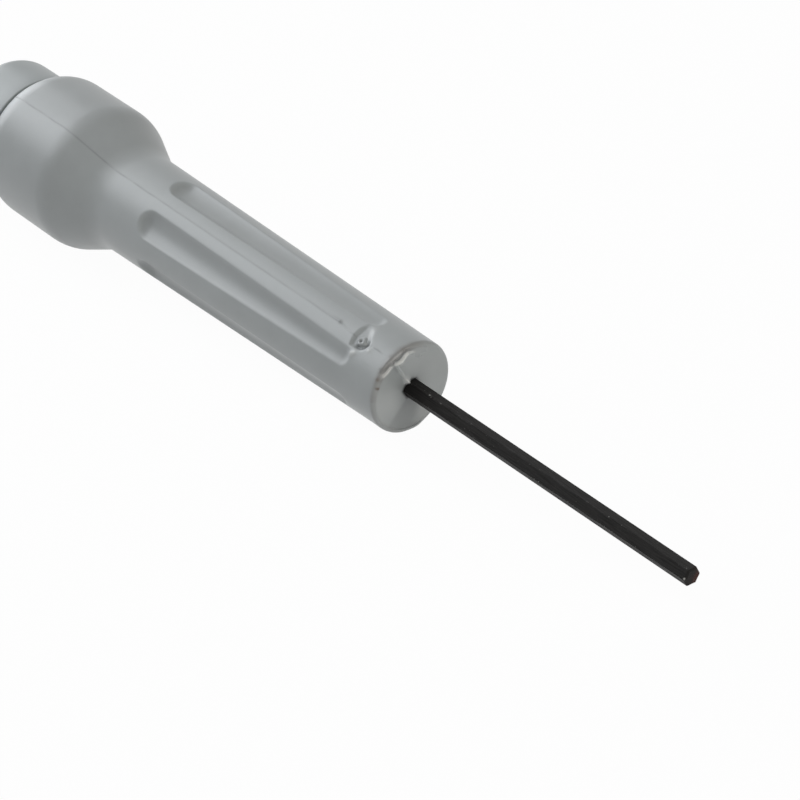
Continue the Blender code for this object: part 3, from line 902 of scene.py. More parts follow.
@dataclass
class Handle:
    """The moulded handle: grip, flutes, flare and bulb, with the marks of its mould.

    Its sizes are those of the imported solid, apart from its flutes. Their cutter is a
    little smaller, their ends are a little steeper and their edges are soft.
    """

    tool: ToolFrame
    hexagon: HexSection = field(default_factory=HexSection)
    gate: GateScar = field(default_factory=GateScar)
    # The grip, which widens backwards by its taper, and its front rim
    front_radius: float = 5.6 * MM
    taper: float = 0.88
    rim_radius: float = 0.5 * MM
    # The flare, and how much of its rise the crest may take and of its ramp the root
    flare_end: float = 60.0 * MM
    flare_angle: float = 24.0
    crest_radius: float = 6.0 * MM
    root_radius: float = 8.0 * MM
    crest_share: float = 0.5
    root_share: float = 0.9
    # The bulb, and its rear edge, an arc that stops before it has turned square. A ring of
    # points a little inside it keeps the flat back's shading even.
    bulb_radius: float = 9.3 * MM
    bulb_length: float = 8.5 * MM
    rear_radius: float = 4.5 * MM
    rear_turn: float = 50.0
    rear_inset: float = 0.6 * MM
    # The nylon washer's recess and the pin's bore, from behind
    recess_radius: float = 5.06 * MM
    recess_depth: float = 0.35 * MM
    bore_radius: float = 1.43 * MM
    bore_depth: float = 11.05 * MM
    # The blade's pocket, from the face, and where the room for its wings starts and ends
    pocket_depth: float = 24.05 * MM
    wing_start: float = 13.95 * MM
    wing_end: float = 20.05 * MM
    pocket_gap: float = 0.05 * MM
    # The flutes: the first one's angle, the cutter and how far before the flare it stops
    flute_count: int = 6
    flute_angle: float = 30.0
    flute_radius: float = 2.85 * MM
    flute_steepness: float = 1.15
    flute_start: float = 5.3 * MM
    flute_stop_margin: float = 6.8 * MM
    flute_front_depth: float = 0.31 * MM
    flute_softness: float = 0.24 * MM
    # Painted shade in the lower flute and on the far wall of the next one up: angle, half width, share
    flute_shade: tuple[tuple[float, float, float], ...] = ((30.0, 30.0, 0.11), (105.0, 13.0, 0.09))
    # Painted shade at the flutes' rear end: distance, half length, share
    flute_end_shade: tuple[float, float, float] = (43.5 * MM, 2.0 * MM, 0.05)
    # How deep a flute is where its painted shade begins and where it is full
    shade_depths: tuple[float, float] = (0.08 * MM, 0.4 * MM)
    # Where painted shade begins to darken the flare, where that is full, and its share
    flare_shade: tuple[float, float, float] = (50.0 * MM, 56.0 * MM, 0.09)
    # Sectors of the face painted paler, a painted sheen: angle, half width, the radii in millimetres between
    # which each comes up, and share
    painted_sheen_sectors: tuple[tuple[float, float, float, float, float], ...] = (
        (-20.0, 38.0, 1.6, 3.2, 0.09),
        (-114.0, 13.0, 2.4, 3.6, 0.16),
    )
    # Brown spots at the front rim: millimetres past the face's edge, angle, size, share
    rim_spots: tuple[tuple[float, float, float, float], ...] = (
        (-0.02, 18.5, 0.17, 0.85),
        (0.25, 29.0, 0.20, 0.4),
    )
    # Where the lower rim bulges: angle, half width, height in millimetres
    rim_bulges: tuple[tuple[float, float, float], ...] = ((-82.0, 30.0, 0.15), (-102.0, 9.0, 0.09))
    # The turn between two columns: at the parting line, at other fine marks, elsewhere
    column_steps: tuple[float, float, float] = (0.2, 0.6, 1.5)
    # How far the close columns reach from the parting line and from the gate's middle, and
    # between which turns from a flute's middle its edges lie
    seam_reach: float = 1.5
    gate_reach: float = 24.0
    flute_edges: tuple[float, float] = (9.5, 18.5)
    crisp_angle: float = 50.0
    parting_angle: float = 60.0
    # The torn flash on the face, in millimetres: across the parting line, out from the
    # axis along it, and how strongly it stands there
    flash_edge: tuple[tuple[float, float, float], ...] = (
        (-2.36, 4.60, 0.0),
        (-2.15, 4.64, 0.85),
        (-1.60, 4.64, 0.90),
        (-1.25, 4.69, 0.90),
        (-0.90, 4.75, 0.70),
        (-0.50, 4.72, 0.12),
        (-0.18, 4.59, 0.50),
        (0.20, 4.38, 1.0),
        (0.62, 4.27, 1.0),
        (1.10, 4.42, 1.0),
        (1.69, 4.47, 0.75),
        (2.07, 4.28, 0.55),
        (2.42, 4.01, 0.30),
        (2.80, 3.80, 0.0),
    )

    def grip_radius(self, distance: float) -> float:
        """Return the plain grip's radius at a distance behind the face."""
        return self.front_radius + (distance - self.rim_radius) * math.tan(math.radians(self.taper))

    def flare(self) -> list[tuple[float, float]]:
        """Round the flare off at both ends.

        Returns:
            Its points (distance, radius), from its root to the bulb's full radius.
        """
        slope = math.radians(self.flare_angle)
        taper = math.radians(self.taper)
        rise = self.bulb_radius - self.grip_radius(self.flare_end)
        crest = min(self.crest_radius, self.crest_share * rise / (1.0 - math.cos(slope)))
        crest_low = self.bulb_radius - crest * (1.0 - math.cos(slope))
        crest_at = self.flare_end - crest * math.sin(slope)
        drop = crest_low - self.grip_radius(crest_at)
        corner = crest_at - drop / (math.tan(slope) - math.tan(taper))
        ramp = (crest_at - corner) / math.cos(slope)
        half = math.tan((slope - taper) / 2.0)
        root = min(self.root_radius, self.root_share * ramp / half)
        root_at = corner - root * half * math.cos(taper)
        centre = (root_at - root * math.sin(taper), self.grip_radius(root_at) + root * math.cos(taper))
        points = arc(centre, root, 180.0 + self.taper, 180.0 + self.flare_angle, 1.5)
        return points + arc((self.flare_end, self.bulb_radius - crest), crest, self.flare_angle, 0.0, 2.0)

    def rows(self) -> list[Row]:
        """Lay out the rings of the closed surface, close where the marks are fine.

        Returns:
            The rings, from the pocket's end over the outer side to the bore's end.
        """
        rows = [Row(self.pocket_depth, 0.0, Surface.INSIDE)]
        for distance, winged in (
            (self.pocket_depth, False),
            (self.wing_end, False),
            (self.wing_end, True),
            (self.wing_start, True),
            (self.wing_start, False),
            (1.0 * MM, False),
            (0.12 * MM, False),
        ):
            rows.append(Row(distance, 0.0, Surface.INSIDE, 1.0, winged))
        face_end = self.front_radius - self.rim_radius
        # Shares of the face's radius: start, end and step
        for share in stations([(0.0, 0.15, 0.025), (0.15, 0.75, 0.10), (0.75, 1.0, 0.0145)]):
            rows.append(Row(0.0, face_end * share, Surface.FACE, 1.0 - share))
        rim = arc((self.rim_radius, face_end), self.rim_radius, 90.0, self.taper, 9.0)
        rows += [Row(distance, radius, Surface.RIM) for distance, radius in rim[1:]]
        flare = self.flare()
        # Distances along the grip: start, end and step
        grip = stations(
            [
                (0.55 * MM, 3.2 * MM, 0.30 * MM),
                (3.2 * MM, 7.6 * MM, 0.10 * MM),
                (7.6 * MM, 9.6 * MM, 0.2 * MM),
                (9.6 * MM, 39.0 * MM, 1.6 * MM),
                (39.0 * MM, 44.8 * MM, 0.2 * MM),
                (44.8 * MM, flare[0][0], 0.6 * MM),
            ]
        )
        rows += [Row(distance, self.grip_radius(distance), Surface.GRIP) for distance in grip[:-1]]
        rows += [Row(distance, radius, Surface.BULB) for distance, radius in flare]
        bulb_end = self.flare_end + self.bulb_length
        for distance in stations([(self.flare_end, bulb_end, 1.2 * MM)])[1:-1]:
            rows.append(Row(distance, self.bulb_radius, Surface.BULB))
        bend = (bulb_end, self.bulb_radius - self.rear_radius)
        rear = arc(bend, self.rear_radius, 0.0, -self.rear_turn, 4.0)
        rows += [Row(distance, radius, Surface.BULB) for distance, radius in rear]
        rear_at, rear_edge = rear[-1]
        floor = rear_at - self.recess_depth
        bore_end = floor - self.bore_depth
        for distance, radius in (
            (rear_at, rear_edge - self.rear_inset),
            (rear_at, self.recess_radius),
            (floor, self.recess_radius),
            (floor, self.bore_radius),
            (bore_end, self.bore_radius),
            (bore_end, 0.0),
        ):
            rows.append(Row(distance, radius, Surface.INSIDE))
        return rows

    def columns(self) -> list[float]:
        """Lay out the surface's columns, closest along the seam and the flutes' edges.

        Returns:
            Their angles, in order.
        """
        angles = []
        at_seam, at_marks, elsewhere = self.column_steps
        pitch = 360.0 / self.flute_count
        angle = 0.0
        while angle < 359.9:
            angles.append(angle)
            from_seam = min(abs(wrap(angle - self.parting_angle - side)) for side in (0.0, 180.0))
            from_flute = abs((angle - self.flute_angle + pitch / 2.0) % pitch - pitch / 2.0)
            at_edge = self.flute_edges[0] < from_flute < self.flute_edges[1]
            if from_seam < self.seam_reach:
                step = at_seam
            elif at_edge or abs(wrap(angle - self.gate.angle)) < self.gate_reach:
                step = at_marks
            else:
                step = elsewhere
            angle = round(angle + step, 4)
        return angles

    def shell(self, rows: list[Row], columns: list[float]) -> Object:
        """Make the plain turned shell with the blade's pocket.

        Args:
            rows: its rings.
            columns: its angles.

        Returns:
            The shell.
        """
        points = []
        for row in rows[1:-1]:
            for angle in columns:
                radius = row.radius
                if row.pocket > 0.0:
                    hole = self.hexagon.radius(angle, self.pocket_gap, row.winged)
                    radius = row.radius + row.pocket * hole
                points.append(self.tool.point(row.distance, radius, angle))
        start = self.tool.point(rows[0].distance, 0.0, 0.0)
        end = self.tool.point(rows[-1].distance, 0.0, 0.0)
        return ring_mesh("handle_shell", start, points, end, len(columns))

    def cut_flutes(self, shell: Object, material: Material) -> None:
        """Sink the straight flutes with Geometry Nodes, then bake them in.

        Args:
            shell: the plain shell.
            material: the plastic that the tree puts on it.
        """
        floor = self.grip_radius(self.flute_start) - self.flute_front_depth
        axis = floor + self.flute_radius
        stop = self.flare()[0][0] - self.flute_stop_margin
        reach = [
            math.sqrt(self.flute_radius**2 - (axis - self.grip_radius(at)) ** 2) / self.flute_steepness
            for at in (self.flute_start, stop)
        ]
        sizes = {
            "Face": self.tool.face_x,
            "Flute Count": float(self.flute_count),
            "First Angle": math.radians(self.flute_angle),
            "Tool Radius": self.flute_radius,
            "Axis Radius": axis,
            "Start": self.flute_start + reach[0],
            "Stop": stop - reach[1],
            "End Steepness": self.flute_steepness,
            "Edge Softness": self.flute_softness,
        }
        tree = flute_tree(material, sizes)
        modifier = shell.modifiers.new("flutes", "NODES")
        modifier.node_group = tree
        for item in tree.interface.items_tree:
            if item.in_out == "INPUT" and item.name in sizes:
                modifier[item.identifier] = sizes[item.name]
        bake(shell)

    def mark_seam(self, row: Row, angle: float, mark: Mark) -> None:
        """Raise the parting line at a place on the outer side, with a painted shadow along it.

        Args:
            row: the ring on the surface.
            angle: the angle round the tool.
            mark: the mark at that place, which is changed.
        """
        for side, seed in ((self.parting_angle, 3.1), (self.parting_angle + 180.0, 8.7)):
            off = math.radians(wrap(angle - side)) * row.radius
            if abs(off) > 4.0 * MM:
                continue
            off -= 0.05 * MM * wander(row.distance, 2.6 * MM, seed)
            strength = 0.7 + 0.6 * wander(row.distance, 1.7 * MM, seed + 5.0)
            lift = 1.0
            if side == self.parting_angle:
                # The gate drew the line 0.26 mm down, and beside the rim and the scar its ridge and painted
                # shadow are faint.
                off += 0.26 * MM * (1.0 - smooth_step(7.3 * MM, 9.2 * MM, row.distance))
                off -= 0.06 * MM * swell(row.distance - 2.6 * MM, 0.5 * MM)
                strength *= smooth_step(1.5 * MM, 2.1 * MM, row.distance)
                strength *= 1.0 - swell(row.distance - 3.45 * MM, 0.25 * MM)
                strength += 0.6 * swell(row.distance - 2.6 * MM, 0.6 * MM)
                lump = swell(math.hypot(row.distance - 9.4 * MM, off), 0.26 * MM)
                mark.height += 0.09 * MM * lump
                # Painted shade darkens the small lump on the line.
                mark.soot_and_shade += 0.35 * lump
            else:
                lift = -1.0
            mark.height += 0.030 * MM * strength * swell(off, 0.10 * MM)
            # The two mould halves don't quite meet: the upper one stands a little proud.
            half = math.tanh(off / (0.05 * MM)) * math.exp(-abs(off) / (1.6 * MM))
            mark.height += 0.014 * MM * half * lift
            # A painted shadow darkens a thin strip just beside the step.
            mark.soot_and_shade += max(0.0, 0.30 * strength * swell(off + 0.06 * MM, 0.12 * MM))

    def mark_flash(self, out: float, side: float, mark: Mark) -> None:
        """Raise the flash from the blade to the rim, and the torn flash where it meets the rim, with painted
        shade and highlights beside them.

        Args:
            out: millimetres from the axis towards the parting line.
            side: millimetres across that.
            mark: the mark at that place, which is changed.
        """
        # The flash along the parting line heaps up at the blade.
        line = side + 0.05 * (out - 0.6) - 0.08 * wander(math.hypot(out, side), 1.1, 2.2)
        ridge = swell(line, 0.14) * (1.0 - smooth_step(4.2, 4.6, out))
        heap = swell(math.hypot(0.8 * (out - 1.36), side + 0.04), 0.34)
        height = 0.10 * ridge + 0.45 * heap
        mark.stress_and_highlight += 0.25 * ridge * (1.0 - smooth_step(2.0, 3.6, out)) + 0.5 * heap
        # Painted shade darkens a strip beside the flash near the rim.
        near_rim = smooth_step(3.2, 3.9, out) * (1.0 - smooth_step(4.4, 4.7, out))
        mark.soot_and_shade += 0.22 * swell(line + 0.33, 0.22) * near_rim
        # Where the rim meets the parting line, torn flash stands over a notch. The flash is painted white,
        # partly as whitening and partly as a painted highlight, and the notch gets painted shade.
        edge, strength = between(self.flash_edge, side)
        past = out - edge + 0.04 * wander(side, 0.7, 4.4)
        height += 0.07 * strength * swell(past + 0.10, 0.14)
        height -= 0.18 * strength * smooth_step(-0.06, 0.18, past) * (1.0 - smooth_step(0.40, 0.80, past))
        mark.stress_and_highlight += 0.85 * strength * swell(past + 0.02, 0.19)
        notch = smooth_step(0.06, 0.30, past) * (1.0 - smooth_step(0.45, 1.05, past))
        mark.soot_and_shade += (0.46 if side > 0.0 else 0.26) * strength * notch
        # A spot of painted shade at the rim's edge.
        mark.soot_and_shade += 0.55 * swell(math.hypot(out - 4.92, side + 0.33), 0.15)
        mark.height += height * MM

    def mark_face(self, row: Row, angle: float, mark: Mark) -> None:
        """Lay the flash, the painted shade with some dirt, and the painted sheen on the front face and rim at
        a place.

        Args:
            row: the ring on the face or rim.
            angle: the angle round the tool.
            mark: the mark at that place, which is changed.
        """
        hole = self.hexagon.radius(angle, self.pocket_gap)
        gap = row.radius + (row.pocket - 1.0) * hole
        radius = (gap + hole) / MM
        turn = math.radians(wrap(angle - self.parting_angle))
        if math.cos(turn) > 0.0:
            self.mark_flash(radius * math.cos(turn), radius * math.sin(turn), mark)
        if row.surface is not Surface.FACE:
            return
        # Painted shade, with some dirt, darkens the face round the blade where it enters.
        mark.soot_and_shade += 0.80 * swell(gap, 0.22 * MM) + 0.16 * swell(gap, 1.1 * MM)
        # Left of the parting line the face is painted a little darker: painted shade.
        mark.soot_and_shade += 0.07 * smooth_step(4.0, 22.0, angle) * (1.0 - smooth_step(52.0, 57.0, angle))
        # Painted shade darkens a wedge from the blade to the lower rim, with one sharp side.
        turn = math.radians(angle + 56.0)
        across, down = radius * math.sin(turn), radius * math.cos(turn)
        dark_wedge = (1.0 - smooth_step(-0.55, 0.10, across - 0.12 * down)) * smooth_step(-0.4, 0.9, down)
        dark_wedge *= smooth_step(-2.9, -1.3, across + 0.3 * down)
        mark.soot_and_shade += 0.20 * dark_wedge * (1.0 - 0.25 * smooth_step(3.4, 5.0, radius))
        # The paler sectors are painted on: a painted sheen of the turned face.
        for at, width, inner, outer, share in self.painted_sheen_sectors:
            mark.stress_and_highlight += share * swell(wrap(angle - at), width) * smooth_step(inner, outer, radius)

    def mark_rim(self, row: Row, angle: float, mark: Mark) -> None:
        """Lay the rubbed-in brown dirt, and the painted shade, along the front rim at a place.

        Args:
            row: the ring on the surface.
            angle: the angle round the tool.
            mark: the mark at that place, which is changed.
        """
        if row.distance > 2.5 * MM or row.radius < 4.2 * MM:
            return
        # How far the place is round the rim's edge, from the face's outer part to the grip
        past = row.distance - (0.0 if row.distance > 0.0 else 5.1 * MM - row.radius)
        round_rim = smooth_step(125.0, 70.0, abs(wrap(angle - 20.0)))
        near_seam = swell(wrap(angle - 58.0), 34.0)
        patchy = 0.75 + 0.5 * wander(math.radians(angle) * row.radius, 1.1 * MM, 6.4)
        band = swell(past - 0.22 * MM, (0.30 + 0.22 * near_seam) * MM)
        mark.grime += (0.26 + 0.26 * near_seam) * round_rim * band * patchy
        # Painted shade darkens the band near the parting line.
        mark.soot_and_shade += 0.14 * near_seam * band
        for at, round_at, size, share in self.rim_spots:
            across = math.radians(wrap(angle - round_at)) * row.radius
            mark.grime += share * swell(math.hypot(past - at * MM, across), size * MM)
        # The lower rim bulges a little, up to a corner painted darker: painted shade.
        mark.soot_and_shade += 0.10 * swell(wrap(angle + 96.0), 12.0) * swell(past, 0.6 * MM)
        if row.surface is not Surface.FACE:
            bulge = sum(height * swell(wrap(angle - at), width) for at, width, height in self.rim_bulges)
            mark.height += bulge * MM * swell(row.distance - 0.3 * MM, 1.1 * MM)

    def mark_grip(self, row: Row, angle: float, sunk: float, mark: Mark) -> None:
        """Press the gate scar and lay the flutes' painted shade at a place.

        Args:
            row: the ring on the grip.
            angle: the angle round the tool.
            sunk: how deep the flute is there.
            mark: the mark at that place, which is changed.
        """
        at, length, share = self.flute_end_shade
        shade_share = share * swell(row.distance - at, length)
        shade_share += sum(part * swell(wrap(angle - middle), width) for middle, width, part in self.flute_shade)
        # Painted shade darkens the flutes where they are deep.
        mark.soot_and_shade += shade_share * smooth_step(*self.shade_depths, sunk)
        across = math.radians(wrap(angle - self.gate.angle)) * row.radius
        self.gate.press(self.gate.distance - row.distance, across, mark)

    def mark(self, shell: Object, rows: list[Row], columns: list[float]) -> None:
        """Raise the parting line, the gate scar and the flash, and lay in the dirt, the painted shade and the
        painted highlights.

        Args:
            shell: the fluted shell, whose points follow the rows and columns.
            rows: its rings, ends included.
            columns: its angles.
        """
        mesh = shell.data
        marks = [Mark() for _ in mesh.vertices]
        index = 0
        for row in rows[1:-1]:
            for angle in columns:
                index += 1
                mark = marks[index]
                if row.surface is Surface.INSIDE:
                    continue
                direction = self.tool.outward(angle)
                if row.surface in (Surface.FACE, Surface.RIM):
                    self.mark_face(row, angle, mark)
                    share = row.distance / self.rim_radius
                    direction = (Vector((1.0 - share, 0.0, 0.0)) + direction * share).normalized()
                else:
                    self.mark_seam(row, angle, mark)
                if row.surface is Surface.GRIP:
                    place = mesh.vertices[index].co
                    self.mark_grip(row, angle, row.radius - math.hypot(place.y, place.z), mark)
                self.mark_rim(row, angle, mark)
                # Painted shade darkens the flare towards the bulb.
                start, end, shade_share = self.flare_shade
                mark.soot_and_shade += shade_share * smooth_step(start, end, row.distance)
                mesh.vertices[index].co += direction * mark.height
        # Each share goes to the mesh as an attribute, with painted shade and highlights among them.
        for name in ("soot_and_shade", "grime", "stress_and_highlight"):
            set_attribute(shell, name, [min(1.0, max(0.0, getattr(mark, name))) for mark in marks])

    def build(self, skin: MouldedPlastic, face_skin: MouldedPlastic) -> Object:
        """Make the handle, finished.

        Args:
            skin: the plastic of the grip and bulb.
            face_skin: the same plastic, as the turned front face shows it.

        Returns:
            The handle's object.
        """
        rows = self.rows()
        columns = self.columns()
        shell = self.shell(rows, columns)
        self.cut_flutes(shell, skin.build())
        self.mark(shell, rows, columns)
        shell.data.materials.append(face_skin.build())
        count = len(columns)
        for polygon in shell.data.polygons:
            ring = (min(polygon.vertices) - 1) // count
            if 0 <= ring < len(rows) - 2 and rows[ring + 1].surface is Surface.FACE:
                polygon.material_index = 1
        keep_corners(shell, self.crisp_angle)
        return shell


@dataclass
class Blade:
    """The fixed hex bar, chamfered at its tip and winged where the handle holds it."""

    tool: ToolFrame
    hexagon: HexSection = field(default_factory=HexSection)
    tip_chamfer: float = 0.18 * MM
    # The chamfer's own rings lie this far off the tip's face and the flats, to blunt its edges.
    chamfer_edge: float = 0.02 * MM
    # How far behind the handle's face the bar ends, and where its wings start and end
    buried: float = 24.0 * MM
    wing_start: float = 14.0 * MM
    wing_end: float = 20.0 * MM
    # How bare the corners are rubbed, and the one on the gate's side
    corner_wear: float = 0.20
    gate_corner: float = 60.0
    gate_corner_wear: float = 0.10
    # The rust on the tip: its middle's angle, its half width in degrees and its strength
    rust_patch: tuple[float, float, float] = (205.0, 60.0, 0.9)
    middle_rust: float = 0.15
    crisp_angle: float = 28.0
    # Chips in the oxide: millimetres behind the tip, angle, half length, half width, bareness. The first,
    # near the tip, is a painted glint: a painted highlight drawn as bare metal.
    chips_and_glint: tuple[tuple[float, float, float, float, float], ...] = (
        (0.20, 7.5, 0.15, 0.13, 1.2),
        (0.85, 65.0, 0.40, 0.08, 0.75),
        (41.4, 69.0, 0.30, 0.20, 0.60),
        (40.2, 66.0, 0.50, 0.14, 0.30),
    )

    def columns(self) -> list[float]:
        """Return the angles of the bar's lengthwise edges.

        Returns:
            Six angles round each corner and six across each flat, in order.
        """
        offsets = (-4.6, -3.0, -1.0, 1.0, 3.0, 4.6, 7.5, 12.0, 20.0, 30.0, 40.0, 50.0)
        return sorted((60.0 * corner + offset) % 360.0 for corner in range(6) for offset in offsets)

    def rings(self) -> list[tuple[float, float, bool]]:
        """Return the bar's rings from its tip to its buried end.

        Returns:
            Each ring's distance behind the face, its inset and whether it is winged.
        """
        tip = self.tool.face_x
        chamfer, edge = self.tip_chamfer, self.chamfer_edge
        rings = [
            (tip, 2.2 * chamfer, False),
            (tip, chamfer, False),
            (tip + edge, 0.85 * chamfer, False),
            (tip + 0.85 * chamfer, edge, False),
            (tip + 1.1 * chamfer, 0.0, False),
        ]
        # Start, end and step in millimetres behind the tip, with small steps where the chips are
        stretches = [(0.30, 1.7, 0.10), (1.7, 37.5, 1.5), (37.5, 43.0, 0.2)]
        stretches.append((43.0, (self.wing_start - tip) / MM, 1.5))
        rings += [(tip + behind * MM, 0.0, False) for behind in stations(stretches)]
        rings += [(self.wing_start, 0.0, True), (self.wing_end, 0.0, True)]
        return rings + [(self.wing_end, 0.0, False), (self.buried, 0.0, False)]

    def build(self, finish: DrawnSteel) -> Object:
        """Make the blade, with its corners' wear, a painted glint near its tip and the tip's rust laid in.

        Args:
            finish: its steel.

        Returns:
            The blade.
        """
        tip = self.tool.face_x
        rings = self.rings()
        columns = self.columns()
        points = []
        wear_and_glint = [0.0]
        rust = [self.middle_rust]
        rust_angle, rust_width, rust_share = self.rust_patch
        for distance, inset, winged in rings:
            behind = (distance - tip) / MM
            for angle in columns:
                radius = self.hexagon.radius(angle, 0.0, winged) - inset
                points.append(self.tool.point(distance, radius, angle))
                corner = round(angle / 60.0) * 60.0
                rubbed = 1.0 - smooth_step(2.0, 6.0, abs(wrap(angle - corner)))
                worn = rubbed * (self.gate_corner_wear if corner == self.gate_corner else self.corner_wear)
                # The first chip is a painted glint, a painted highlight drawn as bare metal.
                for at, round_at, length, width, bare in self.chips_and_glint:
                    across = math.radians(wrap(angle - round_at)) * radius / MM
                    worn += bare * swell(math.hypot((behind - at) / length, across / width), 1.0)
                wear_and_glint.append(min(1.0, worn))
                patch = rust_share * swell(wrap(angle - rust_angle), rust_width)
                rust.append(patch * (1.0 - smooth_step(0.05, 0.45, behind)))
        start = self.tool.point(tip, 0.0, 0.0)
        end = self.tool.point(self.buried, 0.0, 0.0)
        blade = ring_mesh("blade", start, points, end, len(columns))
        set_attribute(blade, "wear_and_glint", wear_and_glint + [0.0])
        set_attribute(blade, "rust", rust + [0.0])
        keep_corners(blade, self.crisp_angle)
        dress(blade, finish.build())
        return blade


@dataclass
class EndCap:
    """The cap that turns on the handle's back, and the dished disc that closes it."""

    tool: ToolFrame
    sides: int = 180
    crisp_angle: float = 40.0
    # The cap, from its mouth at the handle to its end
    mouth: float = 72.297 * MM
    end: float = 80.197 * MM
    radius: float = 7.69 * MM
    mouth_round: float = 0.30 * MM
    end_round: float = 1.80 * MM
    lip_round: float = 0.10 * MM
    # The bush's bore with its flat land, the web behind it and the well for the pin's head
    bore_radius: float = 2.89 * MM
    land: float = 0.8 * MM
    web: float = 2.50 * MM
    well_radius: float = 4.66 * MM
    # The finger disc, from the ledge that it sits on, and its dish
    disc_seat: float = 78.747 * MM
    disc_pocket_radius: float = 5.49 * MM
    disc_radius: float = 5.46 * MM
    disc_round: float = 0.15 * MM
    disc_gap: float = 0.05 * MM
    dish_radius: float = 4.26 * MM
    dish_depth: float = 0.50 * MM
    dish_softness: float = 0.35 * MM
    dish_rings: int = 24

    def build_cap(self, finish: MouldedPlastic) -> Object:
        """Make the cap as a turned ring with rounded edges.

        Args:
            finish: its plastic.

        Returns:
            The cap.
        """
        mouth = (self.mouth + self.mouth_round, self.radius - self.mouth_round)
        end = (self.end - self.end_round, self.radius - self.end_round)
        lip = (self.end - self.lip_round, self.disc_pocket_radius + self.lip_round)
        profile = [(self.mouth, self.bore_radius), (self.mouth, self.bore_radius + self.land)]
        profile += arc(mouth, self.mouth_round, 90.0, 0.0, 15.0)
        for share in (0.25, 0.5, 0.75):
            profile.append((self.mouth + share * (end[0] - self.mouth), self.radius))
        profile += arc(end, self.end_round, 0.0, -90.0, 7.5)
        profile += arc(lip, self.lip_round, -90.0, -180.0, 30.0)
        profile += [
            (self.disc_seat, self.disc_pocket_radius),
            (self.disc_seat, self.well_radius),
            (self.mouth + self.web, self.well_radius),
            (self.mouth + self.web, self.bore_radius),
        ]
        cap = turned("end_cap", self.tool, profile, self.sides, hollow=True)
        keep_corners(cap, self.crisp_angle)
        dress(cap, finish.build())
        return cap

    def build_disc(self, finish: MouldedPlastic) -> Object:
        """Make the finger disc, flush with the cap's end, with its dish's edge softened.

        Args:
            finish: its plastic.

        Returns:
            The disc.
        """
        top = self.disc_seat + self.disc_gap
        rim = (self.end - self.disc_round, self.disc_radius - self.disc_round)
        profile = [(top, 0.0), (top, rim[1]), (top + self.disc_round, self.disc_radius)]
        profile += arc(rim, self.disc_round, 0.0, -90.0, 22.5)
        curve = (self.dish_radius**2 + self.dish_depth**2) / (2.0 * self.dish_depth)
        outer, inner = self.dish_radius + self.dish_softness, self.dish_radius - self.dish_softness
        for i in range(self.dish_rings + 1):
            radius = outer - outer * i / self.dish_rings
            sunk = math.sqrt(curve**2 - min(radius, self.dish_radius) ** 2) - (curve - self.dish_depth)
            profile.append((self.end - sunk * smooth_step(outer, inner, radius), radius))
        disc = turned("finger_rest", self.tool, profile, self.sides, hollow=False)
        keep_corners(disc, self.crisp_angle)
        dress(disc, finish.build())
        return disc


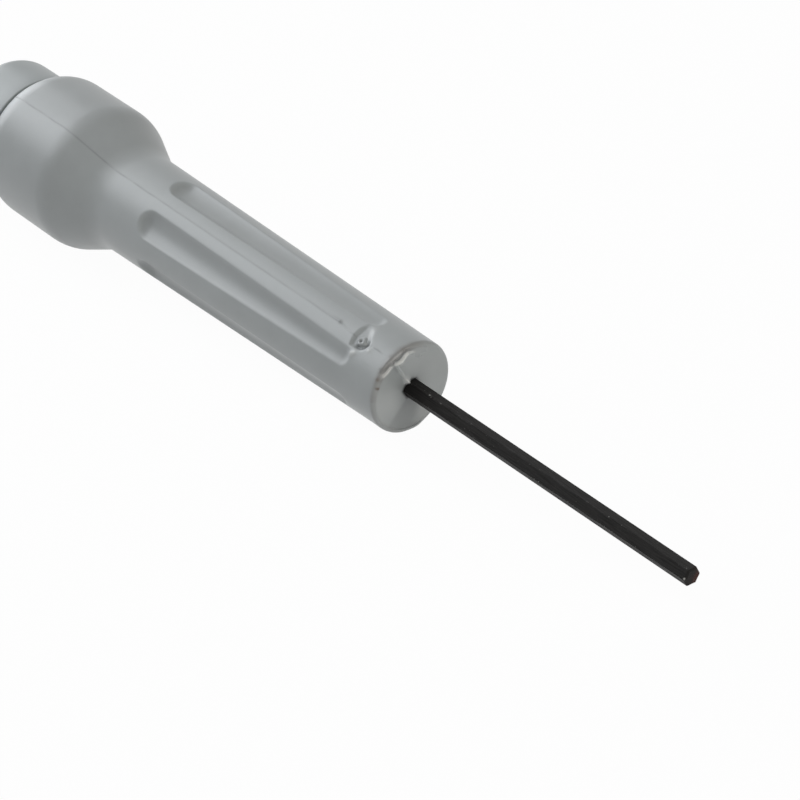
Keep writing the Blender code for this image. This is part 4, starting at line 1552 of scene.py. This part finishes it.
@dataclass
class Studio:
    """The pale floor, the soft light and the camera.

    The camera's numbers come from the photograph: how the tool lies in its frame.

    Attributes:
        tool: the tool's frame.
        axis_tilt: angle between the tool's axis and the line of sight.
        axis_slope: the axis's slope in the picture.
        side: the angle round the tool that faces the camera.
        distance: from the lens to the middle of the handle's face.
        focal: the focal length in pixels of the picture.
        face_pixel: where the middle of the face lies in the picture.
        picture: the picture's width and height in pixels.
        sensor: the sensor's width in millimetres.
        softbox_size: the width of each soft box.
        softbox_distance: how far each hangs from what it faces.
        aim: how far behind the front face that is.
        softboxes: each one's name, direction from the handle, power in watts and tint.
        room_tint: the colour of the even light.
        room_light: its strength.
        plain_white: the white that the lens sees in place of the floor and the room.
        paint: the floor's colour.
        floor_whiteness: how much plain white the lens sees on the floor.
        floor_half: half the floor's width.
        floor_thickness: the floor's thickness.
        rests: the lowest points of the bulb and the rim, each as its distance behind the
            face and its radius.
    """

    tool: ToolFrame
    axis_tilt: float = 50.5
    axis_slope: float = 34.2
    side: float = 43.5
    distance: float = 0.377
    focal: float = 3399.0
    face_pixel: tuple[float, float] = (411.6, 387.7)
    picture: float = 800.0
    sensor: float = 36.0
    softbox_size: float = 0.45
    softbox_distance: float = 0.6
    aim: float = 25.0 * MM
    softboxes: tuple[tuple[str, tuple[float, float, float], float, str], ...] = (
        ("rear_side_softbox", (-0.64, -0.42, 0.64), 1.40, "#F8FBFF"),
        ("rear_softbox", (-1.0, 0.0, 0.35), 1.79, "#F8FBFF"),
        ("front_softbox", (0.9, 0.0, 0.45), 1.63, "#FFFDF8"),
        ("top_softbox", (-0.4, 0.1, 0.9), 0.25, "#FFFFFF"),
    )
    room_tint: str = "#F4F6F8"
    room_light: float = 0.08
    plain_white: str = "#FFFFFF"
    paint: str = "#F2F2F2"
    floor_whiteness: float = 0.97
    floor_half: float = 1.6
    floor_thickness: float = 0.01
    rests: tuple[tuple[float, float], tuple[float, float]] = ((66.0 * MM, 9.32 * MM), (0.55 * MM, 5.62 * MM))

    def camera(self) -> Object:
        """Set up the camera and make it the scene's.

        Returns:
            The camera.
        """
        tilt = math.radians(self.axis_tilt)
        slope = math.radians(self.axis_slope)
        axis = Vector((math.sin(tilt) * math.cos(slope), math.sin(tilt) * math.sin(slope), -math.cos(tilt)))
        middle = self.picture / 2.0
        face = Vector(
            ((self.face_pixel[0] - middle) / self.focal, (self.face_pixel[1] - middle) / self.focal, 1.0)
        ) * self.distance
        to_lens = -face.normalized()
        near = (to_lens - axis * to_lens.dot(axis)).normalized()
        third = axis.cross(near)
        world_axis = Vector((1.0, 0.0, 0.0))
        world_near = self.tool.outward(self.side)
        world_third = world_axis.cross(world_near)

        # The picture's three directions, as they point in the tool's frame
        right, down, forward = (
            world_axis * axis[i] + world_near * near[i] + world_third * third[i] for i in range(3)
        )
        place = Vector((self.tool.face_x, 0.0, 0.0)) - right * face.x - down * face.y - forward * face.z
        lens = bpy.data.cameras.new("photo_camera")
        lens.sensor_width = self.sensor
        lens.lens = self.focal * self.sensor / self.picture
        lens.clip_start = 0.01
        camera = bpy.data.objects.new("photo_camera", lens)
        turn = Matrix((right, -down, -forward)).transposed()
        camera.matrix_world = Matrix.Translation(place) @ turn.to_4x4()
        bpy.context.scene.collection.objects.link(camera)
        bpy.context.scene.camera = camera
        return camera

    def floor_material(self) -> Material:
        """Make the floor's white paint, which the lens, gloss and glass see as plain white.

        Returns:
            The material.
        """
        material = bpy.data.materials.new("white_table")
        material.use_nodes = True
        tree = material.node_tree
        tree.nodes.clear()
        paint = add_node(tree, "ShaderNodeBsdfDiffuse", inputs={"Color": srgb(self.paint)}).outputs[0]
        glow = {"Color": srgb(self.plain_white), "Strength": 1.0}
        white = add_node(tree, "ShaderNodeEmission", inputs=glow).outputs[0]
        both = seen_white(tree, paint, white, self.floor_whiteness)
        add_node(tree, "ShaderNodeOutputMaterial", inputs={"Surface": both})
        return material

    def floor(self) -> Object:
        """Lay the floor under the tool, which rests on its bulb and its front rim.

        Returns:
            The floor.
        """
        (rear_at, rear_low), (front_at, front_low) = self.rests
        slope = (rear_low - front_low) / (rear_at - front_at)
        height = -(front_low - slope * front_at)
        along = Vector((1.0, 0.0, slope)).normalized() * self.floor_half
        across = Vector((0.0, self.floor_half, 0.0))
        normal = Vector((-slope, 0.0, 1.0)).normalized()
        centre = Vector((self.tool.face_x, 0.0, height))
        points = [centre + along * i + across * j for i, j in ((-1, -1), (1, -1), (1, 1), (-1, 1))]
        points += [point - normal * self.floor_thickness for point in points]
        faces = [(0, 1, 2, 3), (7, 6, 5, 4), (0, 4, 5, 1), (1, 5, 6, 2), (2, 6, 7, 3), (3, 7, 4, 0)]
        floor = new_mesh_object("table", points, faces)
        floor.data.shade_flat()
        floor.data.materials.append(self.floor_material())
        return floor

    def softbox(self, name: str, direction: tuple[float, float, float], power: float, tint: str) -> None:
        """Hang a square soft light that faces the handle.

        Args:
            name: the light's name.
            direction: from the handle to the light.
            power: its power in watts.
            tint: its colour.
        """
        light = bpy.data.lights.new(name, "AREA")
        light.size = self.softbox_size
        light.energy = power
        light.color = srgb(tint)[:3]
        lamp = bpy.data.objects.new(name, light)
        out = Vector(direction).normalized()
        aim = Vector((self.tool.face_x - self.aim, 0.0, 0.0))
        lamp.location = aim + out * self.softbox_distance
        lamp.rotation_euler = out.to_track_quat("Z", "Y").to_euler()
        bpy.context.scene.collection.objects.link(lamp)

    def lights(self) -> None:
        """Hang the soft boxes and fill the room with even light."""
        for box in self.softboxes:
            self.softbox(*box)
        world = bpy.data.worlds.new("room")
        bpy.context.scene.world = world
        world.use_nodes = True
        tree = world.node_tree
        tree.nodes.clear()
        glows = ((self.room_tint, self.room_light), (self.plain_white, 1.0))
        room, white = (
            add_node(
                tree, "ShaderNodeBackground", inputs={"Color": srgb(colour), "Strength": strength}
            ).outputs[0]
            for colour, strength in glows
        )
        add_node(tree, "ShaderNodeOutputWorld", inputs={"Surface": seen_white(tree, room, white, 1.0)})

    def build(self) -> Object:
        """Set up the whole studio.

        Returns:
            The floor.
        """
        self.camera()
        self.lights()
        bpy.context.scene.view_settings.view_transform = "Standard"
        return self.floor()


def hand_over(piece: Object, body: str, node: str) -> None:
    """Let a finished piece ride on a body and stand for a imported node.

    Args:
        piece: the finished piece.
        body: the body that it moves with.
        node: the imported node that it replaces.
    """
    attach(piece, body)
    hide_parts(node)
    LOG.info("%s: %d faces, on body %s", piece.name, len(piece.data.polygons), body)


def main() -> None:
    """Build the pieces in order and report each one."""
    logging.basicConfig(level=logging.INFO, format="%(message)s")
    tool = ToolFrame(face_x=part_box("handle_grip")[1][0])
    LOG.info("front face at x = %.1f mm", tool.face_x / MM)
    floor = Studio(tool).build()

    hand_over(Handle(tool).build(GRIP_PLASTIC, FACE_PLASTIC), BODY_HANDLE, "handle_grip")
    hand_over(Blade(tool).build(BLACK_OXIDE), BODY_HANDLE, "hex_blade")
    end = EndCap(tool)
    hand_over(end.build_cap(CAP_PLASTIC), BODY_CAP, "swivel_cap")
    hand_over(end.build_disc(DISC_PLASTIC), BODY_CAP, "finger_disc")

    steel, brass, nylon = BRIGHT_STEEL.build(), BRASS.build(), NYLON.build()
    kept = {"pivot_pin": steel, "head_washer": steel, "cap_bush": brass, "thrust_washer": nylon}
    for node, material in kept.items():
        dress(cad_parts[node], material)
        LOG.info("%s: packed solid, dressed in %s", node, material.name)


if __name__ == "__main__":
    main()
